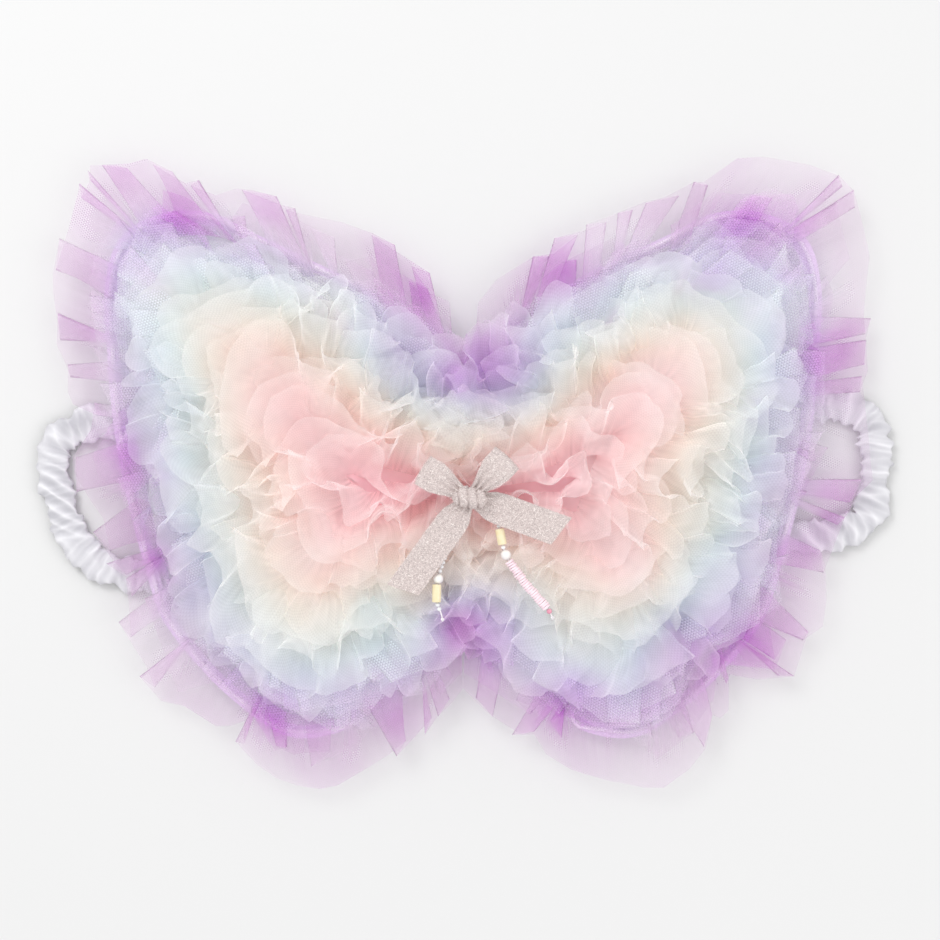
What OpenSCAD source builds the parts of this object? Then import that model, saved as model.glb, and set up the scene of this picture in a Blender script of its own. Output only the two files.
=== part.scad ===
// Child's fairy wings: two wire-framed wings covered in rows of gathered tulle, hinged at a padded
// centre panel, with a ribbon bow, two strings of beads and two ruched elastic arm loops.
// Millimetres. The wings lie on their back: +X to the viewer's right, +Y towards the upper tips,
// +Z out of the decorated face. The back pad rests on z = 0.

/* [Wings] */
// Centre line to the outer edge of the tulle
half_span = 246; // [225:1:270]
// Upper edge of the tulle to its lower edge
wing_height = 378; // [350:1:400]
// Where the wire runs, as a share of the way from a wing's core to the tulle's edge
frame_share = 0.77; // [0.74:0.01:0.79]
// Diameter of the covered frame wire
wire_d = 2.4; // [2:0.1:2.6]
// Thickness of the stretched base net
net_t = 0.8; // [0.5:0.1:1]
// Most that a wing folds forwards, in degrees
fold_max = 50; // [30:1:50]

/* [Centre] */
// Centre line to the axis that each wing folds about
hinge_x = 66; // [66:0.5:70]
// Width of the back pad
pad_w = 120; // [110:1:120]
// Height of the back pad
pad_h = 150; // [130:1:160]
// Thickness of the back pad
pad_t = 9; // [8:0.5:9]
// Corner radius of the back pad and its card
pad_r = 18; // [8:1:24]

/* [Arm loops] */
// Width of the ruched satin sleeve
sleeve_w = 22; // [18:1:24]
// Thickness of the ruched satin sleeve
sleeve_t = 8; // [7:0.5:8]
// Wall of the sleeve, folds included
sleeve_wall = 1.3; // [1:0.1:1.5]
// Width of the elastic inside the sleeve
elastic_w = 12; // [8:1:14]
// Thickness of the elastic
elastic_t = 1.4; // [1:0.1:2]

/* [Bow] */
// Width of the glitter ribbon
ribbon_w = 19; // [16:1:22]
// Thickness of the ribbon
ribbon_t = 1; // [0.6:0.1:1.2]
// Knot to the end of each loop
loop_len = 33; // [28:1:34]

/* [Beads] */
// Diameter of the round pearl beads
pearl_d = 6.2; // [5:0.1:6.2]
// Diameter of the long tube beads
tube_d = 5.4; // [4:0.1:5.6]
// Length of the long tube beads
tube_l = 10.6; // [8:0.1:11]
// Diameter of the small seed beads
seed_d = 2.6; // [2.2:0.1:2.8]
// Diameter of the pink disc beads
disc_d = 5.4; // [4.5:0.1:5.6]
// Length of string that one disc bead takes
disc_pitch = 1.5; // [1.4:0.1:2]
// Diameter of the thread
thread_d = 0.8; // [0.6:0.1:0.8]

/* [Hidden] */

$fn = 48;
run = 0.3;      // gap between solids that lie against each other
steps = 4;      // points that the spline adds to each stretch of an outline
far = 600;      // longer than anything here

// The tulle's outer edge round the right wing, from the upper notch to the lower one: x, y, and the
// place along the wing's core that this point fans out from.
edge = [
    [0, 100, 0], [35, 125, 0.25], [80, 147, 0.6], [125, 169, 1], [165, 188, 1], [204, 187, 1],
    [234, 168, 1], [245, 130, 1], [243, 80, 1], [239, 30, 1.2], [231, -15, 1.5], [219, -60, 1.8],
    [205, -100, 2], [175, -138, 2], [145, -166, 2], [112, -187, 2], [78, -186, 2],
    [46, -170, 2.35], [20, -148, 2.7], [0, -130, 3]
];
// The core that a wing's rows fan out from: centre, upper lobe, lower lobe, centre.
core = [[0, -5], [106, 42], [88, -46], [0, -16]];

// Rows from the border inwards: how far out each row starts and ends, and its top and bottom.
row_in = [0.80, 0.68, 0.56, 0.45, 0.34, 0.20, 0];
row_out = [1.00, 0.80, 0.68, 0.56, 0.45, 0.34, 0.20];
row_top = [24, 29, 33, 36, 38, 39.5, 40];
border_z = 12.5;   // underside of the border, outside the frame
rows_z = 14.4;     // underside of the rows on the net
row_gap = 0.003;   // share left between one row and the next

pad_y = -8;                         // middle of the pad
wire_z = 12;                        // height of the wire, and of the fold axis
card_t = 2;
card_z = pad_t + 0.1;
net_z = wire_z + wire_d / 2 + 0.1;
binding_t = 0.7;
binding_z = wire_z - wire_d / 2 - binding_t - 0.1;
pin_r = 1.5;                        // the wire's wrapped inner run, which turns in the loops
loop_r = 3.2;
loop_ys = [56, -4, -78];
loop_l = 14;
wing_x = hinge_x + loop_r + 0.6;    // where a wing's net and rows start
centre_x = hinge_x - loop_r - 0.3;  // where the centre's net and rows end
corner_x = hinge_x + 8;             // where the wire leaves the row of the frame for its inner run

strap_z = 4.5;
fold_r = 2.6;                                   // rolled end of a strap tab
strap_x = pad_w / 2 + fold_r + run;             // axis that a strap swings about
tab_w = 15;
tab_t = 1.6;
tab_end = strap_x + 17;
sleeve_start = strap_x + 8;
// Middle line of each arm loop beyond its tabs, as it lies.
left_strap_line = [
    [120, 42], [165, 36], [205, 31], [233, 29], [247, 18], [249, 0], [243, -22],
    [232, -44], [216, -58], [190, -62], [150, -62], [110, -60]
];
right_strap_line = [
    [120, 45], [165, 44], [210, 42], [236, 39], [249, 27], [250, 6], [249, -14],
    [243, -30], [226, -36], [195, -40], [150, -48], [110, -54]
];
tab_ys = [42, -58];

knot_at = [4, -14, 53];
stem_r = 3.5;
bow_z = 47.9;
string_z = 43.5;    // the strings leave the stem here and pass under the tails
left_string_points = [
    [2.5, -18.2], [-1, -23], [-4, -30], [-6, -36], [-8, -41], [-10, -47], [-12, -53], [-14, -59],
    [-15, -65], [-15.5, -71], [-15, -77], [-13, -82], [-12, -86]
];
right_string_points = [
    [6, -18], [12, -20.5], [17, -23], [20, -27], [21.5, -32], [22.5, -37], [23.5, -42],
    [25.5, -48], [29, -54], [33.5, -60], [38, -66], [42.5, -71], [47, -76], [51, -81], [53, -85]
];
bore_d = thread_d + 0.5;
tube_bore_d = thread_d + 1.1;   // the thread runs at a slight bend through a long bead

function blend(a, b, t) = a + (b - a) * t;
function unit(v) = v / norm(v);
function flip(list) = [for (i = [len(list) - 1:-1:0]) list[i]];

// A point on a Catmull-Rom curve between b and c.
function curve(a, b, c, d, t) = 0.5 * (
    2 * b + (c - a) * t + (2 * a - 5 * b + 4 * c - d) * t * t
    + (3 * b - a - 3 * c + d) * t * t * t);
function smooth(p, n) = let (last = len(p) - 1) concat(
    [for (i = [0:last - 1]) for (j = [0:n - 1])
        curve(p[max(i - 1, 0)], p[i], p[i + 1], p[min(i + 2, last)], j / n)],
    [p[last]]);

// Scales an outline to the wings' driving size.
function sized(p) = [p[0] * half_span / 246, p[1] * wing_height / 378];
function core_at(k) = k >= 3 ? core[3] : blend(core[floor(k)], core[floor(k) + 1], k - floor(k));
// The line a given share of the way from the core to the tulle's edge, round the right wing.
function row_line(share) =
    [for (p = smooth(edge, steps)) sized(blend(core_at(p[2]), [p[0], p[1]], share))];
function mirrored(line) = [for (p = line) [-p[0], p[1]]];
// The same line round both wings.
function both_lines(share) = let (line = row_line(share)) concat(line, flip(mirrored(line)));

// A closed tube along a level line: its rings are copies of section, given as across and up.
module sweep(line, z, section) {
    n = len(section);
    last = len(line) - 1;
    points = [for (i = [0:last])
        let (t = unit(line[min(i + 1, last)] - line[max(i - 1, 0)]))
        for (s = section) [line[i][0] - t[1] * s[0], line[i][1] + t[0] * s[0], z + s[1]]];
    sides = [for (i = [0:last - 1]) for (j = [0:n - 1])
        let (a = i * n + j, b = i * n + (j + 1) % n) each [[a, a + n, b + n], [a, b + n, b]]];
    ends = [flip([for (j = [0:n - 1]) last * n + j]), [for (j = [0:n - 1]) j]];
    polyhedron(points, concat(sides, ends), convexity = 10);
}

// The same with a hollow: inner is a smaller section with as many points.
module sweep_tube(line, z, outer, inner) {
    n = len(outer);
    last = len(line) - 1;
    ring = concat(outer, inner);
    points = [for (i = [0:last])
        let (t = unit(line[min(i + 1, last)] - line[max(i - 1, 0)]))
        for (s = ring) [line[i][0] - t[1] * s[0], line[i][1] + t[0] * s[0], z + s[1]]];
    walls = [for (i = [0:last - 1]) for (j = [0:n - 1])
        let (a = 2 * i * n + j, b = 2 * i * n + (j + 1) % n)
        each [[a, a + 2 * n, b + 2 * n], [a, b + 2 * n, b],
              [a + n, b + 3 * n, a + 3 * n], [a + n, b + n, b + 3 * n]]];
    rims = [for (j = [0:n - 1])
        let (a = j, b = (j + 1) % n, c = 2 * last * n)
        each [[a, b, b + n], [a, b + n, a + n], [c + a, c + b + n, c + b], [c + a, c + a + n, c + b + n]]];
    polyhedron(points, concat(walls, rims), convexity = 10);
}

function oval(w, h, n) = [for (i = [0:n - 1]) [cos(360 * i / n) * w / 2, sin(360 * i / n) * h / 2]];
function plate(w, h) = [[w / 2, -h / 2], [w / 2, h / 2], [-w / 2, h / 2], [-w / 2, -h / 2]];

// A rectangle with round corners, as one outline.
module rounded(w, h, r) {
    corners = [[w / 2 - r, h / 2 - r, 0], [r - w / 2, h / 2 - r, 90],
               [r - w / 2, r - h / 2, 180], [w / 2 - r, r - h / 2, 270]];
    polygon([for (c = corners) for (a = [0:15:90])
        [c[0] + r * cos(c[2] + a), c[1] + r * sin(c[2] + a)]]);
}

// --- Centre panel -----------------------------------------------------------------------------

module back_pad_cover() {
    wall = 1;
    color("lavenderblush") translate([0, pad_y, 0]) difference() {
        linear_extrude(pad_t) rounded(pad_w, pad_h, pad_r);
        translate([0, 0, wall])
            linear_extrude(pad_t) rounded(pad_w - 2 * wall, pad_h - 2 * wall, pad_r - wall);
    }
}

module back_pad_foam() {
    room = 1.3;
    color("white") translate([0, pad_y, room])
        linear_extrude(pad_t - room) rounded(pad_w - 2 * room, pad_h - 2 * room, pad_r - room);
}

module spine_card() {
    color("gainsboro") translate([0, pad_y, card_z])
        linear_extrude(card_t) rounded(2 * centre_x - 1, pad_h, pad_r);
}

module centre_base_net() {
    color("lavender") translate([0, 0, net_z]) linear_extrude(net_t) intersection() {
        polygon(both_lines(frame_share + 0.015));
        square([2 * centre_x, far], center = true);
    }
}

// A folded tab of webbing sewn to the card, with the wing's wire turning in it.
module hinge_loop() {
    tab_h = 1.2;
    tab_z = card_z + card_t + 0.05;
    difference() {
        union() {
            translate([hinge_x, loop_l / 2, wire_z]) rotate([90, 0, 0]) cylinder(r = loop_r, h = loop_l);
            translate([centre_x - 14, -loop_l / 2, tab_z]) cube([hinge_x - centre_x + 13, loop_l, tab_h]);
        }
        translate([hinge_x, loop_l, wire_z]) rotate([90, 0, 0])
            cylinder(r = pin_r + 0.06, h = 2 * loop_l);
    }
}

module hinge_loops() {
    color("white") for (y = loop_ys) translate([0, y, 0]) hinge_loop();
}

// --- Rows of tulle ----------------------------------------------------------------------------

// One row round both wings, from its inner line to its outer one.
module row_band(i) {
    z = i == 0 ? border_z : rows_z;
    gap = i == 0 ? 0 : row_gap;
    translate([0, 0, z]) linear_extrude(row_top[i] - z) difference() {
        polygon(both_lines(row_out[i] - gap));
        if (row_in[i] > 0) polygon(both_lines(row_in[i]));
    }
}

module centre_row(i) {
    intersection() {
        row_band(i);
        translate([-centre_x, -far / 2, 0]) cube([2 * centre_x, far, far]);
    }
}

// The right wing's share of a row, sloped near the fold so that it clears the centre when folded.
module wing_row(i) {
    difference() {
        intersection() {
            row_band(i);
            translate([wing_x, -far / 2, 0]) cube([far, far, far]);
        }
        translate([hinge_x, -far / 2, wire_z]) rotate([0, fold_max - 90, 0]) cube([far, far, far]);
    }
}

row_colour = ["plum", "thistle", "lightblue", "honeydew", "cornsilk", "peachpuff", "pink"];
module centre_ruffle(i) { color(row_colour[i]) centre_row(i); }
module right_ruffle(i) { color(row_colour[i]) wing_row(i); }
module left_ruffle(i) { mirror([1, 0, 0]) right_ruffle(i); }

// --- Wing frames ------------------------------------------------------------------------------

// The wire: outwards from the top of its inner run, round the wing and back to the run's foot.
module right_wire_frame() {
    outer = [for (p = row_line(frame_share)) if (p[0] > corner_x) p];
    top = outer[0][1];
    foot = outer[len(outer) - 1][1];
    lead = [[hinge_x, top - 14], [hinge_x, top - 8], [hinge_x + 1.2, top - 4], [hinge_x + 4, top - 1.2]];
    tail = [[hinge_x + 4, foot + 1.2], [hinge_x + 1.2, foot + 4], [hinge_x, foot + 8], [hinge_x, foot + 14]];
    color("white") {
        sweep(concat(lead, outer, tail), wire_z, oval(wire_d, wire_d, 8));
        translate([hinge_x, top - 10, wire_z]) rotate([90, 0, 0])
            cylinder(r = pin_r, h = top - foot - 20);
    }
}

module right_edge_binding() {
    half = 0.028;
    color("thistle") translate([0, 0, binding_z]) linear_extrude(binding_t) intersection() {
        difference() {
            polygon(both_lines(frame_share + half));
            polygon(both_lines(frame_share - half));
        }
        translate([wing_x, -far / 2]) square([far, far]);
    }
}

module right_base_net() {
    color("lavender") translate([0, 0, net_z]) linear_extrude(net_t) intersection() {
        polygon(both_lines(frame_share + 0.015));
        translate([wing_x, -far / 2]) square([far, far]);
    }
}

// --- Arm loops --------------------------------------------------------------------------------

// The whole middle line of an arm loop, straight out of one tab and straight into the other.
function strap_line(line, from) = concat(
    [[from, tab_ys[0]]],
    smooth(concat([[sleeve_start + 22, tab_ys[0]]], line, [[sleeve_start + 22, tab_ys[1]]]), 3),
    [[from, tab_ys[1]]]);

module strap_sleeve(line) {
    color("whitesmoke") sweep_tube(strap_line(line, sleeve_start), strap_z,
        oval(sleeve_w, sleeve_t, 12),
        oval(sleeve_w - 2 * sleeve_wall, sleeve_t - 2 * sleeve_wall, 12));
}

module strap_elastic(line) {
    color("white") sweep(strap_line(line, tab_end + run), strap_z, plate(elastic_w, elastic_t));
}

// The two sewn ends of an arm loop, each rolled round a cord where it turns at the pad's edge.
module strap_tabs() {
    color("white") for (y = tab_ys) translate([0, y, strap_z]) {
        translate([strap_x, tab_w / 2, 0]) rotate([90, 0, 0]) cylinder(r = fold_r, h = tab_w);
        translate([strap_x, -tab_w / 2, -tab_t / 2]) cube([tab_end - strap_x, tab_w, tab_t]);
    }
}

// --- Bow --------------------------------------------------------------------------------------

// The ribbon's knot, with the wrapped stem that sews the bow down through the pink tulle.
module bow_knot() {
    size = [19, 13, 11];
    crown_d = 9;
    stem_z = row_top[6] + run;
    color("silver") {
        translate(knot_at) rotate([0, 0, -8]) hull() {
            for (x = [-1, 1])
                translate([x * (size[0] - size[2]) / 2, 0, 0]) sphere(d = size[2], $fn = 32);
            for (y = [-1, 1])
                translate([0, y * (size[1] - crown_d) / 2, 0]) sphere(d = crown_d, $fn = 32);
        }
        translate([knot_at[0], knot_at[1], stem_z]) cylinder(r = stem_r, h = knot_at[2] - stem_z);
    }
}

// A loop of ribbon, pinched at the knot: its side view is a teardrop, and its plan fans out.
module bow_loop(angle) {
    start = 10.5;
    fat = 4.6;
    side = [for (a = [-90:15:90]) [loop_len - fat + fat * cos(a), fat * sin(a)]];
    slim = fat - ribbon_t;
    inside = [for (a = [-90:15:90]) [loop_len - fat + slim * cos(a), slim * sin(a)]];
    color("silver") translate([knot_at[0], knot_at[1], bow_z + fat]) rotate([0, 0, angle])
        intersection() {
            rotate([90, 0, 0]) linear_extrude(ribbon_w + 2, center = true) difference() {
                polygon(concat([[start, 1.6], [start, -1.6]], side));
                polygon(concat([[start - 1, 0.6], [start - 1, -0.6]], inside));
            }
            translate([0, 0, -far / 2]) linear_extrude(far)
                polygon([[0, -5], [loop_len * 0.7, -ribbon_w / 2], [far, -ribbon_w / 2],
                         [far, ribbon_w / 2], [loop_len * 0.7, ribbon_w / 2], [0, 5]]);
        }
}

// A tail of ribbon that narrows into the knot and ends in a slanting cut.
module bow_tail(angle, length, slant) {
    color("silver") translate([knot_at[0], knot_at[1], bow_z - 0.2]) rotate([0, 0, angle])
        linear_extrude(ribbon_t)
            polygon([[7, -4.5], [22, -ribbon_w / 2], [length + slant, -ribbon_w / 2],
                     [length - slant, ribbon_w / 2], [22, ribbon_w / 2], [7, 4.5]]);
}

// --- Strings of beads -------------------------------------------------------------------------

left_string = smooth(left_string_points, 3);
right_string = smooth(right_string_points, 3);

// The point and direction at a distance along a line.
function place(line, s, i = 0) =
    let (step = norm(line[i + 1] - line[i]))
    s <= step || i == len(line) - 2
        ? [blend(line[i], line[i + 1], s / step), unit(line[i + 1] - line[i])]
        : place(line, s - step, i + 1);

// Puts its children on the string, with their Z along the thread.
module on_string(line, s) {
    at = place(line, s);
    translate([at[0][0], at[0][1], string_z]) rotate([0, 90, atan2(at[1][1], at[1][0])]) children();
}

// A thread with the round knot that it swings about, tied beside the bow's stem.
module thread(line) {
    knot_r = 0.8;
    color("white") {
        sweep(line, string_z, oval(thread_d, thread_d, 8));
        translate([line[0][0], line[0][1], string_z]) cylinder(r = knot_r, h = 2 * knot_r, center = true);
    }
}

module round_bead(d) {
    difference() {
        sphere(d = d);
        cylinder(d = bore_d, h = 2 * d, center = true);
    }
}

module tube_bead(d, l) {
    difference() {
        cylinder(d = d, h = l, center = true);
        cylinder(d = tube_bore_d, h = 2 * l, center = true);
    }
}

left_seed_from = 23.5;
left_seeds = 8;
bead_gap = 0.3;
seed_pitch = seed_d + 0.1;
left_pearl_at = left_seed_from + (left_seeds - 1) * seed_pitch + (seed_d + pearl_d) / 2 + bead_gap;
left_tube_at = left_pearl_at + (pearl_d + tube_l) / 2 + bead_gap;
left_end_at = left_tube_at + (tube_l + seed_d) / 2 + bead_gap;

module left_seed_beads() {
    color("white") for (i = [0:left_seeds - 1])
        on_string(left_string, left_seed_from + i * seed_pitch) round_bead(seed_d);
}
module left_pearl_bead() { color("ivory") on_string(left_string, left_pearl_at) round_bead(pearl_d); }
module left_tube_bead() { color("khaki") on_string(left_string, left_tube_at) tube_bead(tube_d, tube_l); }
module left_end_beads() {
    color("white") for (i = [0:1])
        on_string(left_string, left_end_at + i * seed_pitch) round_bead(seed_d);
}

right_tube_at = 27.5;
right_tube_l = tube_l - 1;
right_seeds_at = right_tube_at + (right_tube_l + seed_d) / 2 + bead_gap;
right_pearl_at = right_seeds_at + (seed_d + pearl_d) / 2 + bead_gap;
discs = 24;
right_disc_from = right_pearl_at + pearl_d / 2 + 1.6;
right_end_at = right_disc_from + discs * disc_pitch + 1.5;

module right_tube_bead() { color("khaki") on_string(right_string, right_tube_at) tube_bead(tube_d, right_tube_l); }
module right_seed_beads() {
    color("white") {
        on_string(right_string, right_tube_at - (right_tube_l + seed_d) / 2 - bead_gap) round_bead(seed_d);
        on_string(right_string, right_seeds_at) round_bead(seed_d);
    }
}
module right_pearl_bead() { color("ivory") on_string(right_string, right_pearl_at) round_bead(pearl_d); }
module right_disc_beads() {
    color("mistyrose") for (i = [0:discs - 1])
        on_string(right_string, right_disc_from + i * disc_pitch) tube_bead(disc_d, disc_pitch - 0.45);
}
module right_end_bead() { color("hotpink") on_string(right_string, right_end_at) round_bead(seed_d + 0.6); }

// --- Nodes ------------------------------------------------------------------------------------

back_pad_cover();
back_pad_foam();
spine_card();
centre_base_net();
mirror([1, 0, 0]) hinge_loops();  // left_hinge_loops
hinge_loops();  // right_hinge_loops
centre_ruffle(0);  // centre_border_ruffle
centre_ruffle(1);  // centre_lavender_ruffle
centre_ruffle(2);  // centre_blue_ruffle
centre_ruffle(3);  // centre_mint_ruffle
centre_ruffle(4);  // centre_cream_ruffle
centre_ruffle(5);  // centre_peach_ruffle
centre_ruffle(6);  // centre_pink_ruffle
mirror([1, 0, 0]) right_wire_frame();  // left_wire_frame
mirror([1, 0, 0]) right_edge_binding();  // left_edge_binding
mirror([1, 0, 0]) right_base_net();  // left_base_net
left_ruffle(0);  // left_border_ruffle
left_ruffle(1);  // left_lavender_ruffle
left_ruffle(2);  // left_blue_ruffle
left_ruffle(3);  // left_mint_ruffle
left_ruffle(4);  // left_cream_ruffle
left_ruffle(5);  // left_peach_ruffle
left_ruffle(6);  // left_pink_ruffle
right_wire_frame();
right_edge_binding();
right_base_net();
right_ruffle(0);  // right_border_ruffle
right_ruffle(1);  // right_lavender_ruffle
right_ruffle(2);  // right_blue_ruffle
right_ruffle(3);  // right_mint_ruffle
right_ruffle(4);  // right_cream_ruffle
right_ruffle(5);  // right_peach_ruffle
right_ruffle(6);  // right_pink_ruffle
mirror([1, 0, 0]) strap_sleeve(left_strap_line);  // left_strap_sleeve
mirror([1, 0, 0]) strap_elastic(left_strap_line);  // left_strap_elastic
mirror([1, 0, 0]) strap_tabs();  // left_strap_tabs
strap_sleeve(right_strap_line);  // right_strap_sleeve
strap_elastic(right_strap_line);  // right_strap_elastic
strap_tabs();  // right_strap_tabs
bow_knot();
bow_loop(149);  // bow_left_loop
bow_loop(47);  // bow_right_loop
bow_tail(234, 67, 3);  // bow_left_tail
bow_tail(-20, 57.5, -3);  // bow_right_tail
thread(left_string);  // left_bead_thread
left_seed_beads();
left_pearl_bead();
left_tube_bead();
left_end_beads();
thread(right_string);  // right_bead_thread
right_tube_bead();
right_seed_beads();
right_pearl_bead();
right_disc_beads();
right_end_bead();
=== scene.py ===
"""Child's fairy wings, seen from straight above on a pale floor.

Each row of tulle is a strip of net, gathered along a line round each wing and free at its other edge.
Shapes are worked out in millimetres, in the CAD model's frame, and scaled once when a mesh is made.
"""

import math

import bmesh
import bpy
import numpy as np
from mathutils.kdtree import KDTree
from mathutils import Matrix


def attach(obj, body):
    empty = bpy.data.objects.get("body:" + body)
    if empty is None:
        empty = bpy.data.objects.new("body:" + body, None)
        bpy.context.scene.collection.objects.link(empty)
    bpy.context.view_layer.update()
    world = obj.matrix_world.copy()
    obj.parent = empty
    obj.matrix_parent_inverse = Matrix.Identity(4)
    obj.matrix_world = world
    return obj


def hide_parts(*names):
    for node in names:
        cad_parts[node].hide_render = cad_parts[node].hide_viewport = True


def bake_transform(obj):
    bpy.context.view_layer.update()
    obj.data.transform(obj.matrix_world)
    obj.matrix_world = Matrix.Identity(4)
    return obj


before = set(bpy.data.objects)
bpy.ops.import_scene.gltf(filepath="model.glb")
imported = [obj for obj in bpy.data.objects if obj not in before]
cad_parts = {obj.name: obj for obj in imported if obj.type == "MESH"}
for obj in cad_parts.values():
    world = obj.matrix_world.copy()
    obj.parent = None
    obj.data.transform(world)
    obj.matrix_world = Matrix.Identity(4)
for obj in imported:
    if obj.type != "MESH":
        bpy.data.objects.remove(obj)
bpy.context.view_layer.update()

MM = 0.001
SIDES = {"left": -1, "right": 1}


# --- Camera, floor and light --------------------------------------------------------------------

VIEW_WIDTH = 564.0  # mm of the wings' plane across the picture
VIEW_CENTRE = (4.2, 2.4)
TULLE_PLANE = 22.0


def make_camera():
    data = bpy.data.cameras.new("camera")
    data.lens = 90
    camera = bpy.data.objects.new("camera", data)
    bpy.context.scene.collection.objects.link(camera)
    height = VIEW_WIDTH * data.lens / data.sensor_width + TULLE_PLANE
    camera.location = (VIEW_CENTRE[0] * MM, VIEW_CENTRE[1] * MM, height * MM)
    bpy.context.scene.camera = camera


def make_stage():
    bpy.ops.mesh.primitive_plane_add(size=8, location=(0, 0, -0.0005))
    floor = bpy.context.object
    floor.name = "floor"
    mat = bpy.data.materials.new("floor")
    mat.use_nodes = True
    shader = mat.node_tree.nodes["Principled BSDF"]
    shader.inputs["Base Color"].default_value = (0.67, 0.67, 0.67, 1)
    shader.inputs["Roughness"].default_value = 0.9
    shader.inputs["Specular IOR Level"].default_value = 0.1
    floor.data.materials.append(mat)


def area_light(name, location, size, power):
    data = bpy.data.lights.new(name, "AREA")
    data.shape = "SQUARE"
    data.size = size
    data.energy = power
    light = bpy.data.objects.new(name, data)
    light.location = location
    direction = -light.location
    light.rotation_euler = direction.to_track_quat("-Z", "Y").to_euler()
    bpy.context.scene.collection.objects.link(light)


def make_light():
    world = bpy.data.worlds.new("studio")
    world.use_nodes = True
    world.node_tree.nodes["Background"].inputs["Color"].default_value = (1, 1, 1, 1)
    world.node_tree.nodes["Background"].inputs["Strength"].default_value = 1.02
    bpy.context.scene.world = world
    area_light("key light", (-0.9, 1.1, 1.6), 0.9, 16)
    area_light("fill light", (1.4, -0.6, 1.5), 1.4, 8)
    scene = bpy.context.scene
    scene.view_settings.view_transform = "Standard"
    scene.cycles.transparent_max_bounces = 48
    scene.cycles.max_bounces = 14
    scene.cycles.diffuse_bounces = 8
    scene.cycles.transmission_bounces = 8


# --- Small helpers ------------------------------------------------------------------------------


def linear(rgb):
    """An sRGB colour, 0 to 255, as linear values."""
    c = np.asarray(rgb, float) / 255
    return np.where(c <= 0.04045, c / 12.92, ((c + 0.055) / 1.055) ** 2.4)


def unit(v):
    return v / np.maximum(np.linalg.norm(v, axis=-1, keepdims=True), 1e-9)


def spline(points, n):
    """A Catmull-Rom curve through the points, with n samples to each stretch."""
    p = np.asarray(points, float)
    p = np.vstack([p[0], p, p[-1]])
    t = (np.arange(n) / n)[:, None]
    out = []
    for a, b, c, d in zip(p, p[1:], p[2:], p[3:]):
        out.append(0.5 * (2 * b + (c - a) * t + (2 * a - 5 * b + 4 * c - d) * t**2
                          + (3 * b - a - 3 * c + d) * t**3))
    return np.vstack(out + [p[-1:]])


def lengths_along(points):
    steps = np.linalg.norm(np.diff(points, axis=0), axis=1)
    return np.concatenate([[0], np.cumsum(steps)])


def at_places(places, s, values):
    """What lies at some places of a line, from values stored at the lengths s along it."""
    return np.stack([np.interp(places, s, column) for column in values.T], axis=-1)


def soften(values, window):
    """A running mean that keeps the ends in place."""
    w = max(1, int(window)) | 1
    pad = w // 2
    padded = np.concatenate([np.repeat(values[:1], pad, 0), values, np.repeat(values[-1:], pad, 0)])
    kernel = np.ones(w) / w
    return np.stack([np.convolve(padded[:, i], kernel, "valid") for i in range(values.shape[1])], 1)


def wander(s, spacing, rng, low=-1.0, high=1.0):
    """A smooth random function of s whose value drifts every so many millimetres."""
    knots = rng.uniform(low, high, int(np.max(s) / spacing) + 6)
    t = np.asarray(s) / spacing + 1
    i = np.floor(t).astype(int)
    f = t - i
    f = f * f * (3 - 2 * f)
    return knots[i] * (1 - f) + knots[i + 1] * f


def crumple(points, size, rng, waves=6):
    """A smooth random push for every point, from a few crossing waves about size mm long."""
    push = np.zeros_like(points)
    for _ in range(waves):
        k = unit(rng.normal(size=3)) * 2 * np.pi / (size * rng.uniform(0.7, 1.4))
        push += unit(rng.normal(size=3)) * np.sin(points @ k + rng.uniform(0, 2 * np.pi))[..., None]
    return push / math.sqrt(waves)


def grid_faces(rows, cols, closed=False):
    """Quads of a grid whose points are stored row by row; closed joins the last column to the first."""
    r = np.arange(rows - 1)[:, None]
    c = np.arange(cols if closed else cols - 1)[None, :]
    a = r * cols + c
    b = r * cols + (c + 1) % cols
    return np.stack([a, b, b + cols, a + cols], axis=-1).reshape(-1, 4)


def grid_normals(grid):
    """Unit normals of a grid of points, rows by columns."""
    du = np.gradient(grid, axis=1)
    dv = np.gradient(grid, axis=0)
    return unit(np.cross(du, dv))


def make_mesh(name, points, faces, material):
    mesh = bpy.data.meshes.new(name)
    mesh.from_pydata((np.asarray(points).reshape(-1, 3) * MM).tolist(), [], [list(f) for f in faces])
    mesh.update()
    mesh.polygons.foreach_set("use_smooth", [True] * len(mesh.polygons))
    mesh.materials.append(material)
    obj = bpy.data.objects.new(name, mesh)
    bpy.context.scene.collection.objects.link(obj)
    return obj


def add_attributes(obj, tint=None, cover=None, uv=None):
    mesh = obj.data
    if tint is not None:
        layer = mesh.attributes.new("tint", "FLOAT_COLOR", "POINT")
        rgba = np.ones((len(mesh.vertices), 4), np.float32)
        rgba[:, :3] = tint.reshape(-1, 3)
        layer.data.foreach_set("color", rgba.ravel())
    if cover is not None:
        layer = mesh.attributes.new("cover", "FLOAT", "POINT")
        layer.data.foreach_set("value", cover.astype(np.float32).ravel())
    if uv is not None:
        index = np.empty(len(mesh.loops), np.int32)
        mesh.loops.foreach_get("vertex_index", index)
        layer = mesh.uv_layers.new(name="cloth")
        layer.data.foreach_set("uv", uv.reshape(-1, 2)[index].astype(np.float32).ravel())


def declare(obj, slot, body, *nodes):
    """Hides the CAD nodes that a piece stands for and hangs it on the body that it rides on; slot is not
    used.
    """
    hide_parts(*nodes)
    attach(obj, body)


def weld(obj):
    """Joins points that lie together, so that no face has a side of no length."""
    work = bmesh.new()
    work.from_mesh(obj.data)
    bmesh.ops.remove_doubles(work, verts=work.verts, dist=0.05 * MM)
    bmesh.ops.dissolve_degenerate(work, edges=work.edges, dist=0.01 * MM)
    work.to_mesh(obj.data)
    work.free()


# --- Materials ----------------------------------------------------------------------------------


def principled(mat):
    return mat.node_tree.nodes["Principled BSDF"]


def new_material(name):
    mat = bpy.data.materials.new(name)
    mat.use_nodes = True
    return mat, principled(mat)


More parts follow.
